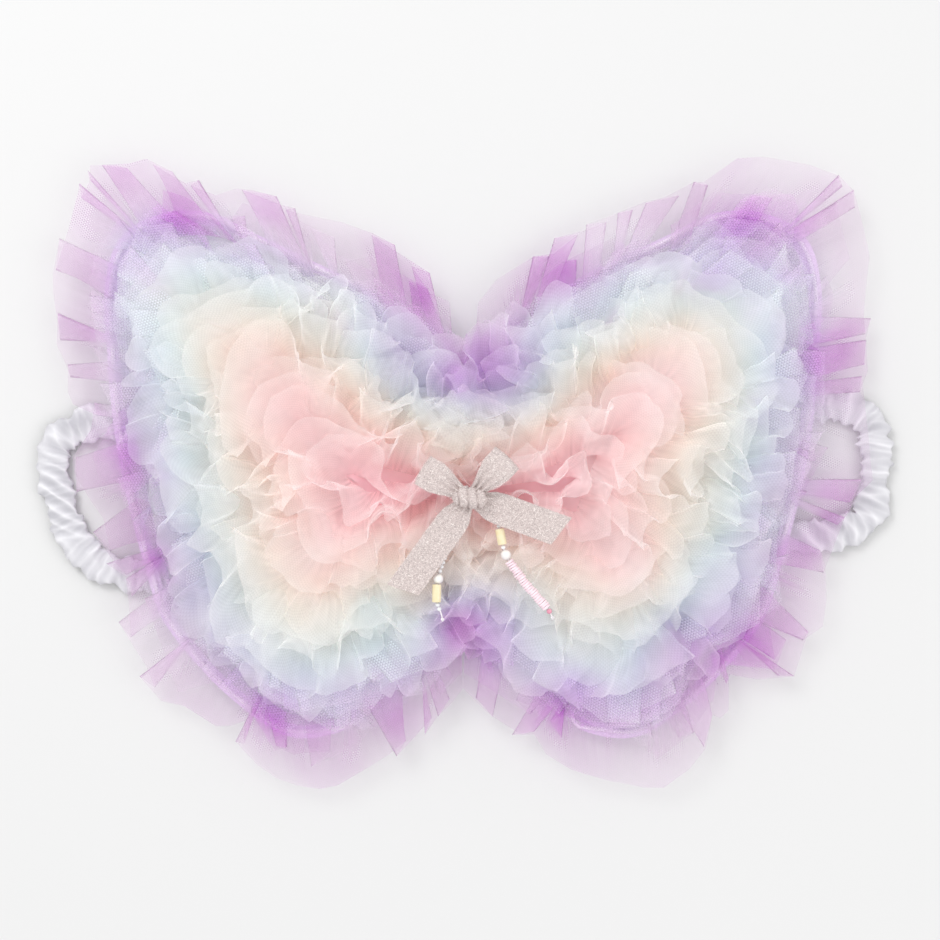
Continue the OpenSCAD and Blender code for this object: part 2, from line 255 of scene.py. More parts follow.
def feed(mat, socket, value):
    """Sets an input to a number, or links another node's output to it."""
    if isinstance(value, (int, float)):
        socket.default_value = value
    else:
        mat.node_tree.links.new(value, socket)


def add_node(mat, kind, *values):
    """A shader node, with values for its first inputs."""
    node = mat.node_tree.nodes.new(f"ShaderNode{kind}")
    for socket, value in zip(node.inputs, values):
        feed(mat, socket, value)
    return node


def attribute(mat, name, output):
    node = add_node(mat, "Attribute")
    node.attribute_name = name
    return node.outputs[output]


def maths(mat, operation, *values):
    """A Math node on numbers or sockets; gives its output."""
    node = add_node(mat, "Math")
    node.operation = operation
    for socket, value in zip(node.inputs, values):
        feed(mat, socket, value)
    return node.outputs[0]


def net_pattern(mat, pitch):
    """A net of round holes: high on the threads and low in the holes, pitch in metres."""
    coords = add_node(mat, "UVMap")
    coords.uv_map = "cloth"
    split = add_node(mat, "SeparateXYZ", coords.outputs["UV"])
    turns = 2 * math.pi / pitch
    waves = None
    for angle in (0, 60, 120):
        a = math.radians(angle)
        along = maths(mat, "MULTIPLY", split.outputs[0], turns * math.cos(a))
        across = maths(mat, "MULTIPLY", split.outputs[1], turns * math.sin(a))
        wave = maths(mat, "SINE", maths(mat, "ADD", along, across))
        waves = wave if waves is None else maths(mat, "ADD", waves, wave)
    return waves


LET_THROUGH = 0.58  # the share of the light on a thread that comes out behind it


def tulle_material(name, pitch, net):
    """See-through net: cover says how much of it is thread, and tint its colour, with painted highlights
    and painted shade in it.

    pitch is the width of a hole and net how clearly the holes show.
    """
    mat, shader = new_material(name)
    tint = attribute(mat, "tint", "Color")
    cover = attribute(mat, "cover", "Fac")
    feed(mat, shader.inputs["Base Color"], tint)
    for key, value in (("Roughness", 0.75), ("Specular IOR Level", 0.2), ("Sheen Weight", 0.3),
                       ("Sheen Roughness", 0.5)):
        shader.inputs[key].default_value = value
    glow = add_node(mat, "BsdfTranslucent", tint)
    body = add_node(mat, "MixShader", LET_THROUGH, shader.outputs[0], glow.outputs[0])
    share = maths(mat, "MULTIPLY_ADD", net_pattern(mat, pitch), net, 1.0)
    solid = maths(mat, "MULTIPLY", cover, share)
    solid.node.use_clamp = True
    sheer = add_node(mat, "BsdfTransparent")
    mix = add_node(mat, "MixShader", solid, sheer.outputs[0], body.outputs[0])
    feed(mat, mat.node_tree.nodes["Material Output"].inputs["Surface"], mix.outputs[0])
    return mat


# --- The wings' lines ---------------------------------------------------------------------------

# As in the CAD source: the tulle's outer edge round one wing, from the upper notch to the lower one
# (x, y, and the place along the core that this point fans out from), and the core's corners.
EDGE = [
    (0, 100, 0), (35, 125, 0.25), (80, 147, 0.6), (125, 169, 1), (165, 188, 1), (204, 187, 1),
    (234, 168, 1), (245, 130, 1), (243, 80, 1), (239, 30, 1.2), (231, -15, 1.5), (219, -60, 1.8),
    (205, -100, 2), (175, -138, 2), (145, -166, 2), (112, -187, 2), (78, -186, 2),
    (46, -170, 2.35), (20, -148, 2.7), (0, -130, 3),
]
CORE = [(0, -5), (106, 42), (88, -46), (0, -16)]
SPINE = [(0, -10.5), (66, -6)]  # the line that the innermost strips close in on

# The free edge of each wing's border, panel by panel from the upper notch to the lower one, with x
# away from the centre line. Each panel laps over the one before it.
BORDERS = {
    "right": [
        [(0, 82), (8, 84)],
        [(8, 84), (9, 103), (20, 117), (42, 131)],
        [(42, 131), (55, 133)],
        [(55, 142), (74, 147)],
        [(74, 150), (93, 157)],
        [(93, 157), (110, 164)],
        [(110, 163), (122, 167), (139, 176)],
        [(139, 176), (145, 176), (165, 190), (180, 191), (210, 186), (226, 180)],
        [(226, 180), (235, 171)],
        [(235, 171), (241, 148), (245, 131), (243, 111), (242, 95)],
        [(246, 94), (243, 82)],
        [(243, 81), (244, 62)],
        [(240, 59), (243, 30), (247, -4)],
        [(240, -3), (233, -23)],
        [(230, -26), (223, -45)],
        [(215, -46), (218, -55), (219, -75), (217, -92)],
        [(208, -95), (200, -122)],
        [(200, -122), (178, -124), (161, -121)],
        [(160, -123), (160, -142), (155, -147), (150, -145)],
        [(150, -145), (146, -165), (136, -178), (121, -189), (109, -189), (88, -185), (65, -178),
         (50, -169), (43, -157)],
        [(43, -155), (35, -157), (18, -146)],
        [(18, -146), (12, -141), (0, -129)],
    ],
    "left": [
        [(0, 82), (8, 85), (8, 104), (20, 109)],
        [(20, 121), (40, 134)],
        [(41, 138), (54, 145), (73, 152), (98, 157)],
        [(101, 160), (109, 162)],
        [(112, 167), (127, 171), (137, 172), (149, 168)],
        [(159, 177), (167, 175)],
        [(175, 182), (191, 190), (201, 187)],
        [(202, 184), (210, 186), (225, 186)],
        [(226, 183), (225, 176)],
        [(231, 175), (232, 168), (238, 147)],
        [(243, 142), (247, 120), (247, 109)],
        [(244, 97), (245, 78), (240, 67)],
        [(238, 66), (238, 49), (235, 42)],
        [(222, 43), (224, 27), (235, 10)],
        [(233, 10), (234, 1), (225, -15), (217, -27)],
        [(223, -35), (212, -51)],
        [(215, -54), (201, -64)],
        [(203, -63), (201, -79)],
        [(207, -89), (191, -116)],
        [(195, -122), (182, -137), (168, -140), (157, -147), (149, -152), (141, -152), (132, -149)],
        [(137, -161), (124, -175), (113, -183), (100, -188), (86, -190), (76, -188), (59, -178),
         (46, -170)],
        [(40, -170), (28, -157)],
        [(23, -157), (16, -147)],
        [(15, -146), (6, -137), (0, -129)],
    ],
}


def reach_of(core, edge, outline):
    """How far out along each line from the core to the edge the outline is crossed."""
    a = np.asarray(outline[:-1], float)
    b = np.asarray(outline[1:], float)
    ray = edge - core
    span = b - a
    cross = ray[:, None, 0] * span[None, :, 1] - ray[:, None, 1] * span[None, :, 0]
    cross = np.where(np.abs(cross) < 1e-9, 1e-9, cross)
    rel = a[None] - core[:, None]
    t = (rel[..., 0] * span[None, :, 1] - rel[..., 1] * span[None, :, 0]) / cross
    w = (rel[..., 0] * ray[:, None, 1] - rel[..., 1] * ray[:, None, 0]) / cross
    hit = (w >= 0) & (w <= 1) & (t > 0.5)
    t = np.where(hit, t, np.inf).min(axis=1)
    return np.where(np.isfinite(t), t, 1.0)


class Wing:
    """Lines round one wing at any share of the way from its core to its edge."""

    CELL = 2.0  # mm between the points of the map of shares
    LOW = np.array([-12.0, -212.0])
    CELLS = (142, 212)
    LINES = np.linspace(-1, 1.1, 106)  # the shares that the map is made from

    def __init__(self, side):
        self.sign = SIDES[side]
        fan = spline(EDGE, 16)
        k = np.maximum.accumulate(np.clip(fan[:, 2], 0, 3))
        corners = np.asarray(CORE, float)
        self.edge = fan[:, :2]
        self.core = at_places(k, range(4), corners)
        near, far = np.asarray(SPINE, float)
        self.spine = near + (far - near) * (self.core[:, :1] / corners[:, 0].max())
        self.reach = reach_of(self.core, self.edge, sum(BORDERS[side], []))
        self.samples = KDTree(len(self.edge) * len(self.LINES))
        self.sample_facts = []
        for share in self.LINES:
            for i, (x, y) in enumerate(self.line(share)):
                self.samples.insert((x, y, 0), len(self.sample_facts))
                self.sample_facts.append((i, share))
        self.samples.balance()
        self.map = np.array([[self.nearest(self.LOW + self.CELL * np.array([i, j]))[1]
                              for j in range(self.CELLS[1])] for i in range(self.CELLS[0])])

    def nearest(self, point):
        """The fan line and the share nearest to a place on the wing."""
        return self.sample_facts[self.samples.find((point[0], point[1], 0))[1]]

    def share_at(self, points):
        """The share at each point, x away from the centre line."""
        place = (points[..., :2] - self.LOW) / self.CELL
        place = np.clip(place, 0, np.array(self.CELLS) - 1.001)
        i, j = place[..., 0].astype(int), place[..., 1].astype(int)
        f, g = place[..., 0] - i, place[..., 1] - j
        near = self.map[i, j] * (1 - f) + self.map[i + 1, j] * f
        far = self.map[i, j + 1] * (1 - f) + self.map[i + 1, j + 1] * f
        return near * (1 - g) + far * g

    def line(self, share):
        """Points (x, y) for one share, one to each fan line."""
        outer = self.core + (self.edge - self.core) * max(share, 0)
        inner = (self.core - self.spine) * min(share, 0)
        return outer + inner

    def track(self, share):
        """A gather line as points 1 mm apart, with the number of the fan line at each."""
        points = self.line(share)
        s = lengths_along(points)
        places = np.arange(0, s[-1], 1.0)
        even = at_places(places, s, np.column_stack([points, np.arange(len(points))]))
        tangent = unit(soften(np.gradient(even[:, :2], axis=0), 17))
        outward = np.stack([-tangent[:, 1], tangent[:, 0]], axis=1)
        middle = even[:, :2].mean(axis=0)
        if np.sum((even[:, :2] - middle) * outward) < 0:
            outward = -outward
        return {"s": places, "at": even[:, :2], "tangent": tangent, "outward": outward,
                "fan": even[:, 2]}


WINGS = {side: Wing(side) for side in SIDES}


# --- Colour -------------------------------------------------------------------------------------

# The dye along a line from a wing's middle to its edge: share of the way, sRGB colour.
DYE = [
    (-1.0, (255, 242, 244)), (-0.1, (255, 243, 243)), (0.1, (255, 246, 242)),
    (0.2, (253, 248, 243)), (0.3, (250, 248, 244)), (0.4, (247, 249, 247)),
    (0.5, (242, 248, 249)), (0.58, (238, 241, 247)), (0.66, (231, 228, 240)),
    (0.735, (237, 226, 241)), (0.8, (238, 220, 239)), (0.9, (222, 188, 222)),
    (1.1, (209, 172, 209)),
]
DYE_SHARES, DYE_COLOURS = zip(*DYE)
DYE_COLOURS = linear(DYE_COLOURS)


def dye(share):
    """The linear colour of the cloth at each share."""
    return at_places(share, DYE_SHARES, DYE_COLOURS)


VIOLET = np.array([0.84, 0.46, 0.88])  # what the strongest dye takes from the cloth's colour

# Where the violet dye took most strongly: x, y, and how far it spread.
STAINS = [
    (-173, 161, 22), (16, 66, 20), (8, -98, 22), (-202, 12, 12), (-185, -52, 11), (-116, -148, 17),
    (-28, -154, 14), (-26, 110, 14), (58, 125, 16), (169, 150, 18), (226, 70, 20), (166, -108, 26),
    (66, -142, 20), (222, -10, 14), (-4, -92, 13), (-4, 59, 12),
]


def spread(points, sign, x, y, r):
    """1 at a place (x, y) of the whole part, fading over r; points have x away from the middle."""
    away = np.hypot(points[..., 0] * sign - x, points[..., 1] - y) / r
    return np.exp(-away**2)


def stain(points, sign):
    """How strongly each point is dyed by the stains, 0 to 1."""
    return np.maximum.reduce([spread(points, sign, *place) for place in STAINS])


# Where a dyed zone wanders off its ring: x, y, how far round there, and by what share outwards.
DRIFTS = [
    (-192, 122, 30, -0.14), (-118, 74, 38, -0.13), (-72, 102, 16, -0.15), (-114, 34, 22, -0.12),
    (-44, 76, 20, 0.07), (-32, 44, 28, 0.18), (12, 56, 22, 0.14), (38, 48, 26, 0.22),
    (112, 48, 30, -0.22), (140, 70, 24, -0.14), (58, 100, 16, -0.08), (210, 122, 24, -0.10),
    (100, -50, 22, -0.20), (144, -56, 24, 0.09), (36, -74, 18, 0.15), (122, -106, 28, 0.16),
    (-150, -58, 28, 0.07), (-96, -116, 20, 0.06), (-52, -72, 16, 0.10), (-30, -72, 12, -0.10),
    (-2, -88, 15, 0.24),
]


def drift(points, sign):
    """How far the dye's zones lie off their rings at each point."""
    return sum(shift * spread(points, sign, *place) for *place, shift in DRIFTS)


def patches(points, size, rng):
    """A slow random field over the wings, about -1 to 1."""
    flat = np.array(points, float)
    flat[..., 2] = 0
    return crumple(flat, size, rng, 7)[..., 0] * 1.6


# --- Tulle --------------------------------------------------------------------------------------

GATHER_Z = 14.6  # the height at which the rows are sewn on
LOW_Z = 13.6
HIGH_Z = 47.0
BOW_AT = np.array([4.0, -14.0])
STRING_END = (62.0, -78.0)  # the tulle lies lower here, as a folded wing bends it in over the string
BOW_TOP = 39.8  # the tulle is pressed down to this under the bow and the beads


def settle(points):
    """Keeps tulle above the net, and presses it down round the bow and its bead strings."""
    x, y, z = points[..., 0], points[..., 1], points[..., 2]
    to_bow = np.hypot((x - BOW_AT[0] - 6) / 1.25, (y - BOW_AT[1] + 18) / 1.05)
    near = np.clip(1 - (to_bow - 45) / 50, 0, 1)
    near = near * near * (3 - 2 * near)
    hollow = 11 * np.exp(-((x - STRING_END[0]) ** 2 + (y - STRING_END[1]) ** 2) / 27**2)
    top = HIGH_Z + (BOW_TOP - HIGH_Z) * near - hollow
    room = top - GATHER_Z
    rise = np.maximum(z - GATHER_Z, LOW_Z - GATHER_Z)
    full = near * np.clip((52 - x) / 16, 0, 1)  # lower where a folded wing bends the tulle inwards
    rise = rise * (1 + 0.35 * full * (rise > 0))
    soft, firm = room * np.tanh(rise / room), rise / (1 + np.abs(rise / room) ** 5) ** 0.2
    pressed = np.where(rise > 0, soft + (firm - soft) * full, rise)
    return np.stack([x, y, GATHER_Z + pressed], axis=-1)


MOST_COVER = 0.94
HIGHLIGHT_WHITE = np.array([0.96, 0.94, 0.95])  # the white of the painted highlight along a free edge and on a fold that stands steeply


def cover_of(grid, thread_share, rng):
    """How much of the view the threads hide: more where the net is gathered or seen at a slant."""
    widths = np.linalg.norm(np.diff(grid, axis=1), axis=2)
    widths = np.concatenate([widths, widths[:, -1:]], axis=1)
    widths = soften(widths.T, 5).T
    packed = np.clip(widths[-1] / np.maximum(widths, 1e-3), 1, 3.6)
    v = np.linspace(0, 1, len(grid))[:, None]
    streaks = wander(np.cumsum(widths[-1]), 1.6, rng) + 0.6 * wander(np.cumsum(widths[-1]), 4, rng)
    packed = packed ** 0.75 * (1 + 0.42 * streaks * (1 - v) ** 2 + 0.16 * streaks * (1 - v))
    upright = np.maximum(np.abs(grid_normals(grid)[..., 2]), 0.22)
    return 1 - (1 - thread_share) ** (np.maximum(packed, 0.7) / upright)


def finish_strip(name, side, row, grid, share, own, thread_share, material, rng, stained=0.0):
    """own says how much of the strip's colour is its row's, and not its place's. A stained strip is a
    flat one, cut from evenly woven net; the number says how strongly the stains took on it.
    """
    wing = WINGS[side]
    v = np.linspace(0, 1, grid.shape[0])[:, None] * np.ones(grid.shape[1])
    here = wing.share_at(grid)
    place = here + (share + 0.08 * v - here) * own + 0.08 * patches(grid, 75, rng)
    place = place + drift(grid, wing.sign)
    # Painted shade: the colour is deepened towards the gather, low among the folds, and less towards the
    # free edge; the patches vary it at random.
    depth = (1.5 - 0.8 * v) * (1 + 0.4 * patches(grid, 30, rng))
    spots = 0.42 * stain(grid, wing.sign)
    if stained:
        spots = 0.3 * np.clip(patches(grid, 55, rng) - 0.15, 0, 1) + stain(grid, wing.sign) * stained
        # Painted shade here too: the colour is deeper towards the gather.
        depth = 1.15 - 0.45 * v
    tone = dye(place) ** depth[..., None] * VIOLET ** np.asarray(spots)[..., None]
    cover = 1 - (1 - cover_of(grid, thread_share, rng)) ** (1 + 0.6 * spots)
    # Painted highlights: the tone is whitened along the free edge and where a fold stands steeply, as a
    # fold seen edge-on looks; the free edge is also made a little more solid.
    pale = 0.13 * np.clip((v - 0.96) / 0.025, 0, 1)
    steep_highlight = np.clip(1 - np.abs(grid_normals(grid)[..., 2]) * 1.6, 0, 1)
    lift = np.maximum(pale, 0.12 * steep_highlight)[..., None]
    tone = tone * (1 - lift) + HIGHLIGHT_WHITE * lift
    cover = np.clip(cover * (1 + 0.6 * pale), 0, MOST_COVER)
    grid = grid * [wing.sign, 1, 1]
    along = lengths_along(grid[-1])
    across = np.linalg.norm(np.diff(grid, axis=0), axis=2).sum(axis=0).mean()
    obj = make_mesh(name, grid, grid_faces(*grid.shape[:2]), material)
    uv = np.stack(np.broadcast_arrays(along[None, :], (v * across)), axis=-1) * MM
    if stained:
        turn = rng.uniform(0, np.pi)
        weave = np.array([[np.cos(turn), -np.sin(turn)], [np.sin(turn), np.cos(turn)]])
        uv = grid[..., :2] @ weave * MM
    add_attributes(obj, tone, cover, uv)
    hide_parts(f"centre_{row}_ruffle", f"{side}_{row}_ruffle")
    bend(obj)
    return obj


def bend(obj):
    """Bakes the piece's placing into its points."""
    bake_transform(obj)


RUFFLE_OWN = 0.3  # how much of a ruffle's colour is its row's, and not its place's
RUFFLE_ROWS = 14
PER_FOLD = 30  # points along one fold


def ruffle(name, side, row, share, width, tilt, curl, wave, depth, seed, material, thread_share):
    """A gathered strip that stands up from its line in deep, uneven folds that lean on each other.

    tilt is the angle it leaves the net at and curl how much it flops over by its free edge, in
    degrees; wave is the mean length of line that one fold takes and depth how deep a fold gets.
    """
    rng = np.random.default_rng(seed)
    track = WINGS[side].track(share)
    total = track["s"][-1]
    count = max(3, int(total / wave))
    marks = np.concatenate([[0], np.cumsum(rng.uniform(0.4, 1.9, count))])
    marks *= total / marks[-1]
    turns = np.linspace(0, count, count * PER_FOLD + 1)
    s = np.interp(turns, np.arange(count + 1), marks)
    s = soften(s[:, None], PER_FOLD * 0.6)[:, 0]
    at, tangent, outward = (at_places(s, track["s"], track[key]) for key in ("at", "tangent", "outward"))
    tangent, outward = unit(tangent), unit(outward)
    phase = 2 * np.pi * turns + 1.3 * wander(s, 1.2 * wave, rng)
    fold = np.gradient(s, turns)
    deep = depth * (1 + 0.45 * wander(s, 1.1 * wave, rng)) * np.clip(fold / wave, 0.5, 1.2)
    angle0 = np.radians(tilt + 18 * wander(s, 1.6 * wave, rng))
    droop = np.radians(curl * (1 + 0.9 * wander(s, 1.3 * wave, rng)))
    lean = 0.85 * wander(s, 2.2 * wave, rng)
    tall = width * (1 + 0.12 * wander(s, 0.8 * wave, rng) + 0.12 * wander(s, 2.5 * wave, rng))
    zigzag = 2 / np.pi * np.arcsin(np.sin(phase))
    points = 1.1 * np.abs(zigzag) ** 1.4 - 0.45
    tip = width * (0.10 * wander(s, 0.3 * wave, rng)
                   + (0.17 + 0.12 * wander(s, 0.9 * wave, rng)) * points)
    pleats = wander(s, 2.4, rng) + 0.7 * wander(s, 4.5, rng)
    flat3 = lambda v: np.column_stack([v, np.zeros(len(v))])
    out3, tan3, up = flat3(outward), flat3(tangent), np.array([0, 0, 1.0])
    spine = np.column_stack([at, np.full(len(s), GATHER_Z)])
    rows = []
    for j in range(RUFFLE_ROWS):
        v = j / (RUFFLE_ROWS - 1)
        angle = angle0 - droop * v
        along = unit(np.cos(angle)[:, None] * out3 + np.sin(angle)[:, None] * up
                     + (lean * (0.3 + 0.7 * v))[:, None] * tan3)
        normal = -np.sin(angle)[:, None] * out3 + np.cos(angle)[:, None] * up
        if j:
            spine = spine + along * (tall / (RUFFLE_ROWS - 1))[:, None]
        grow = v**0.75
        shape = np.sin(phase) * (1 - v) + zigzag * v
        swing = (deep * grow * shape + 0.8 * pleats * v**0.3 * (1 - 0.8 * v))[:, None]
        loop = (0.10 * fold * grow * np.sin(2 * phase))[:, None]
        rows.append(spine + normal * swing - tan3 * loop + along * (tip * v * v)[:, None])
    grid = np.array(rows)
    v = np.linspace(0, 1, RUFFLE_ROWS)[:, None, None]
    grid = grid + crumple(grid, 34, rng) * 3.0 * v + crumple(grid, 10, rng) * 0.9 * v
    grid = settle(grid)
    return finish_strip(name, side, row, grid, share, RUFFLE_OWN, thread_share, material, rng)


def evenly(points, spacing):
    """A line through the points with samples about every spacing mm."""
    points = np.asarray(points, float)
    s = lengths_along(points)
    places = np.linspace(0, s[-1], max(2, int(s[-1] / spacing) + 1))
    return at_places(places, s, points)


def crease_lines(grid, count, height, rng):
    """Fine folds that run out from the gather and fade before the free edge."""
    place = lengths_along(grid[-1])
    v = np.linspace(0, 1, len(grid))[:, None]
    lift = np.zeros(grid.shape[:2])
    for _ in range(count):
        start = rng.uniform(0, place[-1])
        slant, reach, wide = rng.uniform(-14, 14), rng.uniform(0.45, 1.0), rng.uniform(0.7, 1.5)
        away = (place[None, :] - start - slant * v) / wide
        lift += height * rng.uniform(0.5, 1.2) * np.exp(-away**2) * np.clip(1 - v / reach, 0, 1)
    return lift


PANEL_ROWS = 13
SPACING = 1.5  # mm between points along a panelled strip's free edge


def panelled(name, side, row, share, panels, lap, lift, low, high, seed, material, thread_share, own,
             creases, stained):
    """A flat pleated strip: each panel of its free edge laps over the one before it.

    It is laid from its far end, and each panel folds back under itself where it ends. lap is how
    far it folds back, lift how far an end stands up, and low and high the heights of its gather and
    of its free edge, all in mm; creases is the number of fine folds.
    """
    rng = np.random.default_rng(seed)
    wing = WINGS[side]
    track = wing.track(share)
    total = track["s"][-1]
    panels = [panel[::-1] for panel in panels[::-1]]
    fan_to_s = lambda p: total - np.interp(wing.nearest(p)[0], track["fan"], track["s"])
    free, gather, height = [], [], []
    hidden_start = None
    for k, panel in enumerate(panels):
        edge = evenly(panel, SPACING)
        ends = [fan_to_s(edge[0]), fan_to_s(edge[-1])]
        if hidden_start is not None:
            under = evenly([hidden_start, edge[0]], SPACING)[:-1]
            edge = np.vstack([under, edge])
        first, last = ends[0] - (5 if k else 0), ends[1] + rng.uniform(2, 13)
        t = lengths_along(edge)
        t = t / t[-1]
        free.append(edge)
        gather.append(first + (last - first) * (0.75 * t + 0.25 * t * t * (3 - 2 * t)))
        height.append(t)
        if k + 1 == len(panels):
            break
        back = unit(edge[-2] - edge[-1])
        size = lengths_along(evenly(panel, SPACING))[-1]
        size = min(lap * rng.uniform(0.4, 1.6), 0.75 * size)
        inward = unit(np.array([90, 0]) - edge[-1])
        hidden_start = edge[-1] + back * size + inward * rng.uniform(1.0, 3.0)
        fold = evenly([edge[-1], hidden_start], SPACING)[1:-1]
        if len(fold):
            t = np.linspace(0, 1, len(fold) + 2)[1:-1]
            free.append(fold)
            gather.append(last + (ends[1] - rng.uniform(2, 12) - last) * t)
            height.append(1 - t)
    free, gather, height = np.vstack(free), np.concatenate(gather), np.concatenate(height)
    gather = np.clip(soften(gather[:, None], 3)[:, 0], 0, total)
    pinch = 9.0 * np.sin(2 * np.pi * gather / 52 + 2.0 * wander(gather, 90, rng))
    fade = np.clip(gather / 20, 0, 1) * np.clip((total - gather) / 20, 0, 1)
    gather = np.clip(gather + pinch * fade, 0, total)
    start = at_places(total - gather, track["s"], track["at"])
    rows = []
    for v in np.linspace(0, 1, PANEL_ROWS):
        xy = start * (1 - v) + free * v
        z = low + (high - low) * (1 - (1 - v) ** 2) + lift * height * (0.3 + 0.7 * v)
        rows.append(np.column_stack([xy, z]))
    grid = np.array(rows)
    v = np.linspace(0, 1, PANEL_ROWS)[:, None]
    flat = np.where([True, True, False], grid, 0)
    grid[..., 2] += 2.6 * v * crumple(flat, 60, rng)[..., 2] + 0.6 * crumple(flat, 15, rng)[..., 2]
    grid[..., 2] += crease_lines(grid, creases, 1.6, rng)
    grid[..., :2] += 0.7 * (v * (1 - v))[..., None] * crumple(flat, 25, rng)[..., :2]
    grid[..., 2] = np.maximum(grid[..., 2], LOW_Z)
    return finish_strip(name, side, row, grid, share, own, thread_share, material, rng, stained)


def loose_panels(side, low, high, width, seed):
    """Uneven panels for a strip whose free edge lies between two shares."""
    rng = np.random.default_rng(seed)
    wing = WINGS[side]
    track = wing.track(0.8)
    total = track["s"][-1]
    panels = []
    s = 0.0
    while s < total - 0.4 * width:
        nxt = min(s + width * rng.uniform(0.5, 1.7), total)
        base = rng.uniform(low, high)
        corners = []
        for t in (0.0, 0.5, 1.0) if rng.random() < 0.5 else (0.0, 1.0):
            at = s + (nxt - s) * t
            fan = np.interp(at, track["s"], track["fan"])
            core, edge = (at_places(fan, range(len(line)), line) for line in (wing.core, wing.edge))
            reach = np.interp(fan, range(len(wing.reach)), wing.reach)
            share = base + rng.uniform(-0.035, 0.035) + (0.03 if t == 0.5 else 0)
            corners.append(tuple(core + (edge - core) * share * reach))
        panels.append(corners)
        s = nxt
    return panels


def net_height(x):
    """The height of the net, which rides up over the hinge loops; x away from the centre line."""
    return 13.9 + 1.9 * np.exp(-((x - 66) / 6) ** 2)


def base_net(side, material):
    """The stretched net under the rows, dyed as they are, with painted shade that deepens its colour
    towards the core.
    """
    wing = WINGS[side]
    shares = np.concatenate([np.linspace(-1, 0, 12)[:-1], np.linspace(0, 0.78, 30)])
    grid = np.array([np.column_stack([wing.line(t), np.zeros(len(wing.edge))]) for t in shares])
    grid[..., 2] = net_height(grid[..., 0])
    grid = grid * [wing.sign, 1, 1]
    obj = make_mesh(f"{side}_net", grid, grid_faces(*grid.shape[:2]), material)
    # Painted shade: the colour is deepened most towards the core, where the net shows in a shaded gap
    # among the innermost rows.
    depth = np.interp(shares, [-0.3, 0.1], [2.8, 1.3])
    tone = dye(shares[:, None] + drift(grid, 1)) ** depth[:, None, None]
    cover = np.interp(shares, [0, 0.1, 0.6, 0.72], [1.2, 0.85, 0.85, 0.3])
    cover = cover[:, None] * np.ones(grid.shape[1])
    add_attributes(obj, tone, cover, grid[..., :2] * MM)
    weld(obj)
    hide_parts("centre_base_net", f"{side}_base_net")
    bend(obj)


# The flat rows from the edge inwards: row, name, share, loose panels (inner and outer share, width)
# or None for the border's own, lap, lift, low, high, net, share of thread, own, creases, stained.
FLAT_ROWS = [
    ("border", "lower", 0.70, None, 14, 2.2, 14.2, 15.0, "sheer", 0.25, 0.0, 46, 0.35),
    ("border", "upper", 0.695, (0.76, 0.92, 36), 12, 2.2, 14.7, 16.8, "sheer", 0.16, 0.0, 40, 1.3),
    ("lavender", "lower", 0.60, (0.70, 0.84, 36), 12, 2.4, 15.2, 18.8, "mesh", 0.22, 0.6, 30, 0.55),
    ("lavender", "upper", 0.56, (0.62, 0.76, 40), 14, 3.0, 15.7, 21.0, "mesh", 0.22, 0.6, 30, 0.4),
    ("blue", "lower", 0.52, (0.64, 0.78, 34), 13, 3.0, 16.2, 23.4, "mesh", 0.23, 0.5, 40, 0.3),
    ("blue", "upper", 0.475, (0.58, 0.70, 32), 13, 4.0, 16.7, 26.0, "mesh", 0.27, 0.4, 44, 0.1),
]
RUFFLE_SEED = 7  # added to a wing's seed, so that no two strips share one
RUFFLE_THREAD = 0.31

# The soft rows from the edge inwards: row, name, share, width, tilt, curl, wave, depth.
RUFFLES = [
    ("mint", "lower", 0.43, 38, 26, 8, 33, 9), ("mint", "upper", 0.375, 38, 29, 10, 33, 10),
    ("cream", "lower", 0.325, 38, 32, 10, 33, 10), ("cream", "upper", 0.27, 38, 35, 10, 32, 11),
    ("peach", "lower", 0.215, 37, 38, 10, 32, 11), ("peach", "upper", 0.155, 37, 41, 10, 32, 11),
    ("pink", "outer", 0.09, 37, 44, 10, 31, 11), ("pink", "middle", 0.02, 36, 46, 10, 31, 11),
    ("pink", "inner", -0.16, 36, 46, 8, 30, 11), ("pink", "heart", -0.38, 36, 48, 8, 30, 11),
    ("pink", "core", -0.62, 34, 58, 8, 30, 11), ("pink", "spine", -0.9, 33, 80, 4, 28, 11),
]


def make_tulle():
    nets = {"sheer": tulle_material("sheer lilac tulle", 0.0013, 0.04),
            "mesh": tulle_material("lavender tulle", 0.0015, 0.28)}
    soft = tulle_material("soft tulle", 0.0015, 0.05)
    for i, side in enumerate(SIDES):
        seed = 100 * (i + 1)
        base_net(side, soft)
        for k, (row, part, share, panels, lap, lift, low, high, net, threads, own, creases,
                stained) in enumerate(FLAT_ROWS):
            if panels:
                panels = loose_panels(side, *panels, seed + 1 + k)
            panelled(f"{side}_{row}_{part}", side, row, share, panels or BORDERS[side], lap, lift, low,
                     high, seed + 1 + k, nets[net], threads, own, creases, stained)
        for k, (row, part, share, width, tilt, curl, wave, depth) in enumerate(RUFFLES):
            ruffle(f"{side}_{row}_{part}", side, row, share, width, tilt, curl, wave, depth,
                   seed + RUFFLE_SEED + k, soft, RUFFLE_THREAD)


# --- Surfaces of the other parts ----------------------------------------------------------------


def surface(name, colour, roughness, sheen=0.0, coat=0.0):
    """A material of one sRGB colour, which the texture functions below then work on."""
    mat, shader = new_material(name)
    shader.inputs["Base Color"].default_value = (*linear(colour), 1)
    for key, value in (("Roughness", roughness), ("Sheen Weight", sheen), ("Coat Weight", coat),
                       ("Coat Roughness", 0.12)):
        shader.inputs[key].default_value = value
    return mat


def texture(mat, kind, size, **settings):
    """A texture in the object's own space, with cells or bands about size mm across."""
    node = add_node(mat, f"Tex{kind}")
    feed(mat, node.inputs["Vector"], add_node(mat, "TexCoord").outputs["Object"])
    node.inputs["Scale"].default_value = (0.314 if kind == "Wave" else 1.0) / (size * MM)
    for key, value in settings.items():
        if hasattr(node, key):
            setattr(node, key, value)
        else:
            node.inputs[key.replace("_", " ").title()].default_value = value
    return node


